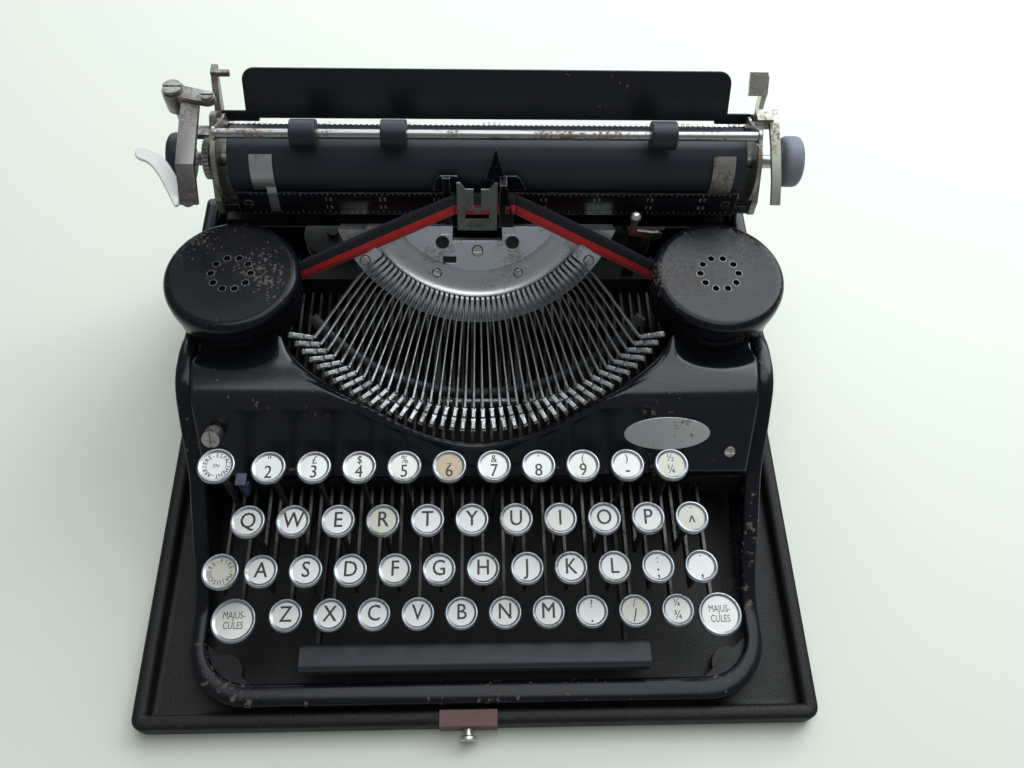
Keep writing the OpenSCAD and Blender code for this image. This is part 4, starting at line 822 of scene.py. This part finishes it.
def bar_place(angle):
    """The frame of a typebar at rest, with its fulcrum as the origin."""
    return on_segment() @ turn(angle, "Z") @ shift(0, -FULCRUM_R, FULCRUM_Z) @ turn(-BAR_REST, "X")


def bar_parts(angle):
    """One typebar: a thin arm with a jog outside the segment, a hub, and a slug with two faces."""
    place = bar_place(angle)
    jog = 1.6 * math.sin(math.radians(angle))
    stations = [(-2.2, 1.2, 0.0), (0, 2.3, 0.0), (3, 2.0, 0.0), (7.5, 1.7, 0.0), (10.5, 1.6, 0.75),
        (13, 1.55, 1.0), (30, 1.5, 0.9), (46, 1.3, 0.35), (56, 1.25, 0.0), (62.4, 1.3, 0.0)]
    loops = []
    for s, half, lean in stations:
        x = jog * lean
        t = 0.4 if s < 52 else 0.55
        loops.append([place @ Vector(p) for p in (
            (x - t, -s, -half), (x + t, -s, -half), (x + t, -s, half), (x - t, -s, half))])
    arm = skin(loops, True, True)
    tip = place @ shift(0, -BAR_LENGTH, 0) @ turn(SLUG_TILT, "X") @ turn(angle, "Z")
    w = SLUG_HALF
    block = [prism([(-w, -10.9), (w, -10.9), (w, -0.2), (-w, -0.2)], -1.8, FACE_FOOT, tip)]
    for centre in (-8.4, -2.9):
        low, high = centre - FACE_HALF, centre + FACE_HALF
        face = [(-w, low), (w, low), (w, high), (-w, high)]
        small = [(x * 0.72, centre + (y - centre) * 0.8) for x, y in face]
        rings = ((face, FACE_FOOT), (small, FACE_TOP))
        loops = [[tip @ Vector((x, y, z)) for x, y in ring] for ring, z in rings]
        block.append(skin(loops, True, True))
    return arm, joined(block)


def typebars():
    """All the bars but the centre one ride on the machine; that one rides on its own body."""
    groups = {"machine": [i for i in range(BAR_COUNT) if i != CENTRE_BAR], "typebar": [CENTRE_BAR]}
    for body, members in groups.items():
        arms, slugs = [], []
        for i in members:
            arm, slug = bar_parts((i - (BAR_COUNT - 1) / 2) * BAR_PITCH)
            arms.append(arm)
            slugs.append(slug)
        node = "typebars" if body == "machine" else "centre_typebar"
        for kind, parts, material in (("_arms", arms, BAR_STEEL), ("_slugs", slugs, SLUG_STEEL)):
            mesh = mesh_of(node + kind, *joined(parts))
            stands_for = (node,) if kind == "_arms" else ()
            made = piece(node + kind, mesh, material, body, stands_for)
            edge = made.modifiers.new("edge", "BEVEL")
            edge.width = BAR_EDGE * MM
            edge.segments = 2
            edge.limit_method = "ANGLE"
            smooth(mesh)


HUB_R = 45
HUB_TEETH, HUB_ARC = 120, 105
HOLE_R, HOLE_X, HOLE_Y = 3.25, 17, -31
HOLE_FLOOR, HOLE_TOP = -6.98, -6.9
CHANNEL_R = 50.6
RIM_SCREW_R = 66
# Per screw, for the painted shade ring round its head: angle about the segment's axis, distance
# from it, height, radius
SCREW_SHADE_RINGS = [(0, HUB_R - 10, -6, 2.4), (-23.3, CHANNEL_R, -6.65, 2), (23.3, CHANNEL_R, -6.65, 2),
    (-54.9, RIM_SCREW_R, 0, 2.2), (54.9, RIM_SCREW_R, 0, 2.2)]


def arc_band(section, half_angle, steps):
    """A section of (radius, height) swept about the segment's axis, as points and faces."""
    loops = []
    for k in range(steps + 1):
        place = on_segment() @ turn(-half_angle + 2 * half_angle * k / steps, "Z")
        loops.append([place @ Vector((0, -r, z)) for r, z in section])
    return skin(loops, False)


def segment_details():
    """The bright concave channel inside the slots, the finely cut edge of the hub plate, and
    painted shade in the plate's holes and round its screws.
    """
    section = [(47.6, -6.9), (49, -6.6), (51, -6.75), (54, -6.7), (56.4, -6.0), (57.5, -4.9),
        (57.9, -4.2)]
    mesh = mesh_of("segment_channel", *arc_band(section, 53, 90))
    smooth(mesh, 60)
    piece("segment_channel", mesh, CHANNEL_STEEL, "machine")
    teeth = []
    outline = [(-0.22, -47.3), (0.22, -47.3), (0.22, -45.05), (-0.22, -45.05)]
    for k in range(HUB_TEETH):
        place = on_segment() @ turn(HUB_ARC * (k / (HUB_TEETH - 1) - 0.5), "Z")
        teeth.append(prism(outline, -6.6, -5.7, place))
    mesh = mesh_of("hub_teeth", *joined(teeth))
    piece("hub_teeth", mesh, CAST_STEEL, "machine")
    # Near-black discs over the plate's holes and slot, and rings just wider than the screw heads,
    # are painted shade for the dark seen in the holes and in the gaps round the screws.
    wall = [(HOLE_R, HOLE_FLOOR), (HOLE_R, HOLE_TOP)]
    shaded_holes = [turned(wall, on_segment() @ shift(x, HOLE_Y, 0), 32) for x in (-HOLE_X, HOLE_X)]
    outline = [(-16.9, -41.4), (-10.5, -41.4), (-10.5, -38.0), (-16.9, -38.0)]
    shaded_holes.append(prism(outline, HOLE_FLOOR, HOLE_TOP, on_segment()))
    for angle, reach, z, r in SCREW_SHADE_RINGS:
        seat = on_segment() @ turn(angle, "Z") @ shift(0, -reach, z)
        shaded_holes.append(turned([(r + 0.45, -0.05), (r + 0.45, 0.03)], seat, 32))
    mesh = mesh_of("hub_hole_shade", *joined(shaded_holes))
    piece("hub_hole_shade", mesh, IRON, "machine")


RIBBON_T = 0.12
RIBBON_EXIT, RIBBON_EXIT_ANGLE, RIBBON_LOW = 24, math.radians(16), 78.6


def ribbon_strip(name, path, body, replaces=()):
    """A two-colour ribbon along (x, y, z of its lower edge, lean) stations."""
    widths = [0.0, 3.1, 6.2, 6.2, 9.6, 13.0]
    loops = []
    for x, y, z, lean in path:
        a = math.radians(lean)
        loops.append([(x, y + w * math.sin(a), z + w * math.cos(a)) for w in widths])
    points, faces = skin(loops, False)
    red = [1 if i % (len(widths) - 1) < 2 else 0 for i in range(len(faces))]
    mesh = mesh_of(name, points, faces, red)
    smooth(mesh, 70)
    made = piece(name, mesh, [BLACK_RIBBON, RED_RIBBON], body, replaces)
    thick = made.modifiers.new("thick", "SOLIDIFY")
    thick.thickness = RIBBON_T * MM
    return made


def ribbons():
    """Two free runs from the cups to the guide, and the short stretch that moves with the guide."""
    inward = RIBBON_EXIT * math.cos(RIBBON_EXIT_ANGLE)
    back = RIBBON_EXIT * math.sin(RIBBON_EXIT_ANGLE)
    for side, end_x, name in ((-1, -10.9, "ribbon_from_left"), (1, 18.5, "ribbon_to_right")):
        start = Vector((side * (CUP_X - inward), CUP_Y + back, RIBBON_LOW))
        end = Vector((end_x, 66.6, 100))
        path = []
        for k in range(25):
            t = k / 24
            p = start.lerp(end, t)
            sag = math.sin(math.pi * t)
            path.append((p.x, p.y + 0.6 * sag, p.z - 1.2 * sag, 4 * t + 7 * sag))
        ribbon_strip(name, path, "machine", ("free_ribbon",))
    ribbon_strip("ribbon_middle", [(-10.6 + k * 28.8 / 6, 66.7, 100, 4) for k in range(7)], "guide",
        ("ribbon_centre",))


# Carriage details

CAR_X = 5.8
PLATEN_Y, PLATEN_Z = 88.5, 113.5
KNOB_IN = 139.5
TENTH_INCH = 2.54
SCALE_TOP, SCALE_FOOT, INK_T = 13, 1.0, 0.03
DIGIT, DIGIT_LINES = 2.9, (9.2, 4.4)


def scale_mark(x, low, high, place):
    """One upright mark of the scale."""
    outline = [(x - 0.09, low), (x + 0.09, low), (x + 0.09, high), (x - 0.09, high)]
    return prism(outline, 0, INK_T, place)


def scale_marks():
    """Ten marks to the inch along both edges of the front scale, numbered every inch."""
    place = shift(CAR_X, 69.9, 96.5) @ turn(-7.5, "X") @ shift(0, -0.44, 0) @ turn(90, "X")
    parts = []
    for n in range(-4, 86):
        x = 6.1 + (n - 40) * TENTH_INCH - CAR_X
        tall, low = (1.9, 1.6) if n % 5 == 0 else (1.2, 0.9)
        parts.append(scale_mark(x, SCALE_TOP - tall, SCALE_TOP - 0.1, place))
        if n % 10 == 0 and 0 <= n <= 80:
            for text, dx in ((str(n // 10 if n else ""), -1.1), ("0", 1.1)):
                for height in DIGIT_LINES if text else ():
                    spot = place @ shift(x + dx, height, INK_T)
                    parts.append(lettering(text, DIGIT, spot, 0.8))
        parts.append(scale_mark(x, SCALE_FOOT, SCALE_FOOT + low, place))
    letters_piece("scale_marks", parts, SCALE_INK, "carriage")


def knobs():
    """The two rubber platen knobs, the left one darker."""
    profile = [(3.0, 0.6), (9.5, 0.2), (11.2, 0.9), (11.9, 2.2), (12, 4), (12, 7.0), (11.6, 8.5),
        (10.6, 9.3), (9.0, 9.5), (3, 9.5)]
    for side, name, material in ((1, "right_knob", KNOB_RUBBER), (-1, "left_knob", RUBBER)):
        place = shift(CAR_X + side * KNOB_IN, PLATEN_Y, PLATEN_Z) @ turn(side * 90, "Y")
        mesh = mesh_of(name, *turned(profile, place, 64))
        smooth(mesh, 40)
        piece(name, mesh, material, "cylinder", ("platen_knobs",))


# Stage, with its lengths and places in metres

FLOOR_SIZE = 6
CAMERA_LENS = 31.64
CAMERA_PLACE = (-0.0003, -0.2172, 0.4331)
CAMERA_FORWARD = (0.038336, 0.495951, -0.867500)
CAMERA_RIGHT = (0.999256, -0.022909, 0.031061)


def stage():
    """Pale floor, soft window and overhead light, and the camera at the photograph's angle."""
    scene = bpy.context.scene
    f = Finish("floor", Roughness=0.6)
    colour = f.mix(f.noise(3, 2), (0.67, 0.69, 0.59, 1), (0.71, 0.73, 0.64, 1))
    material = f.surface(colour)
    bpy.ops.mesh.primitive_plane_add(size=FLOOR_SIZE)
    floor = bpy.context.object
    floor.name = "floor"
    floor.data.materials.append(material)
    world = bpy.data.worlds.new("studio")
    scene.world = world
    world.use_nodes = True
    background = world.node_tree.nodes["Background"]
    background.inputs["Color"].default_value = (0.86, 0.93, 1.0, 1)
    background.inputs["Strength"].default_value = 0.26
    for name, place, aim, size, power, tint in (
        ("window", (0.9, 0.9, 1.0), (0, 0, 0.05), 1.1, 21, (0.88, 0.96, 1.0)),
        ("overhead", (0.2, 0.35, 1.6), (0, 0, 0.05), 1.3, 13.5, (0.93, 0.98, 1.0)),
        ("back_strip", (-0.3, 1.2, 0.7), (0, 0, 0.08), 0.9, 7, (0.85, 0.93, 1.0)),
    ):
        lamp = bpy.data.lights.new(name, "AREA")
        lamp.size = size
        lamp.energy = power
        lamp.color = tint
        holder = bpy.data.objects.new(name, lamp)
        holder.location = place
        holder.rotation_euler = (Vector(aim) - Vector(place)).to_track_quat("-Z", "Y").to_euler()
        scene.collection.objects.link(holder)
    camera = bpy.data.cameras.new("camera")
    camera.sensor_width = 36
    camera.lens = CAMERA_LENS
    camera.clip_start = 0.01
    holder = bpy.data.objects.new("camera", camera)
    forward = Vector(CAMERA_FORWARD).normalized()
    right = Vector(CAMERA_RIGHT).normalized()
    up = right.cross(forward)
    place = Matrix((right, up, -forward)).transposed().to_4x4()
    place.translation = Vector(CAMERA_PLACE)
    holder.matrix_world = place
    scene.collection.objects.link(holder)
    scene.camera = holder
    scene.view_settings.view_transform = "Standard"


stage()
base_board()
frame_walls()
cover()
lids()
keys()
typebars()
segment_details()
ribbons()
scale_marks()
knobs()

eased("latch_plate", 0.3, RUST_PLATE)
eased("latch_button", 0.5, NICKEL)
eased("space_bar", 0.8, SPACE_PAINT)
eased("spool_cups", 0.4, LID_ENAMEL)
eased("vibrator", 0.12, SATIN_STEEL)
eased("card_holder", 0.12, ENAMEL)
eased("segment", 0.12, CAST_STEEL)
eased("hub_plate", 0.2, CAST_STEEL)
eased("slotted_screws", 0.25, NICKEL)
eased("selector_knob", 0.5, NICKEL)
eased("blank_oval", 0.2, OVAL_STEEL)
eased("left_end", 0.35, END_METAL)
eased("right_end", 0.35, END_METAL)
eased("finger_blade", 0.9, CREAM)
eased("paper_table", 0.4, TABLE_ENAMEL)
fingers = eased("paper_fingers", 0.12, [STEEL, RUSTY_STEEL])
for face in fingers.data.polygons:
    face.material_index = 1 if face.center.x > 0 else 0
eased("front_scale", 0.15, TABLE_ENAMEL)
eased("line_lever", 0.7, RETURN_METAL)
eased("release_lever", 0.4, NICKEL)
eased("margin_release", 0.15, NICKEL)
eased("tab_lever", 0.3, BLUE_PAINT)
eased("bail_rollers", 0.6, RUBBER)
eased("bail_rod", 0.2, ROD_NICKEL)
eased("carriage_bed", 0.5, IRON)
eased("shift_frame", 0.4, IRON)
eased("cross_beams", 0.5, IRON)
dress(FOOT_RUBBER, "rubber_feet")
dress(IRON, "lever_combs", "typebar_rest")
dress(STEEL, "pivot_rods", "shift_shaft", "fulcrum_wire", "platen_shaft")
dress(STEEL, "left_spool", "right_spool")
dress(BLACK_RIBBON, "left_roll", "right_roll")
dress(RUBBER, "platen", "feed_rollers")
dress(NICKEL, "margin_rack")
dress(IRON, "bell", "spring_drum")
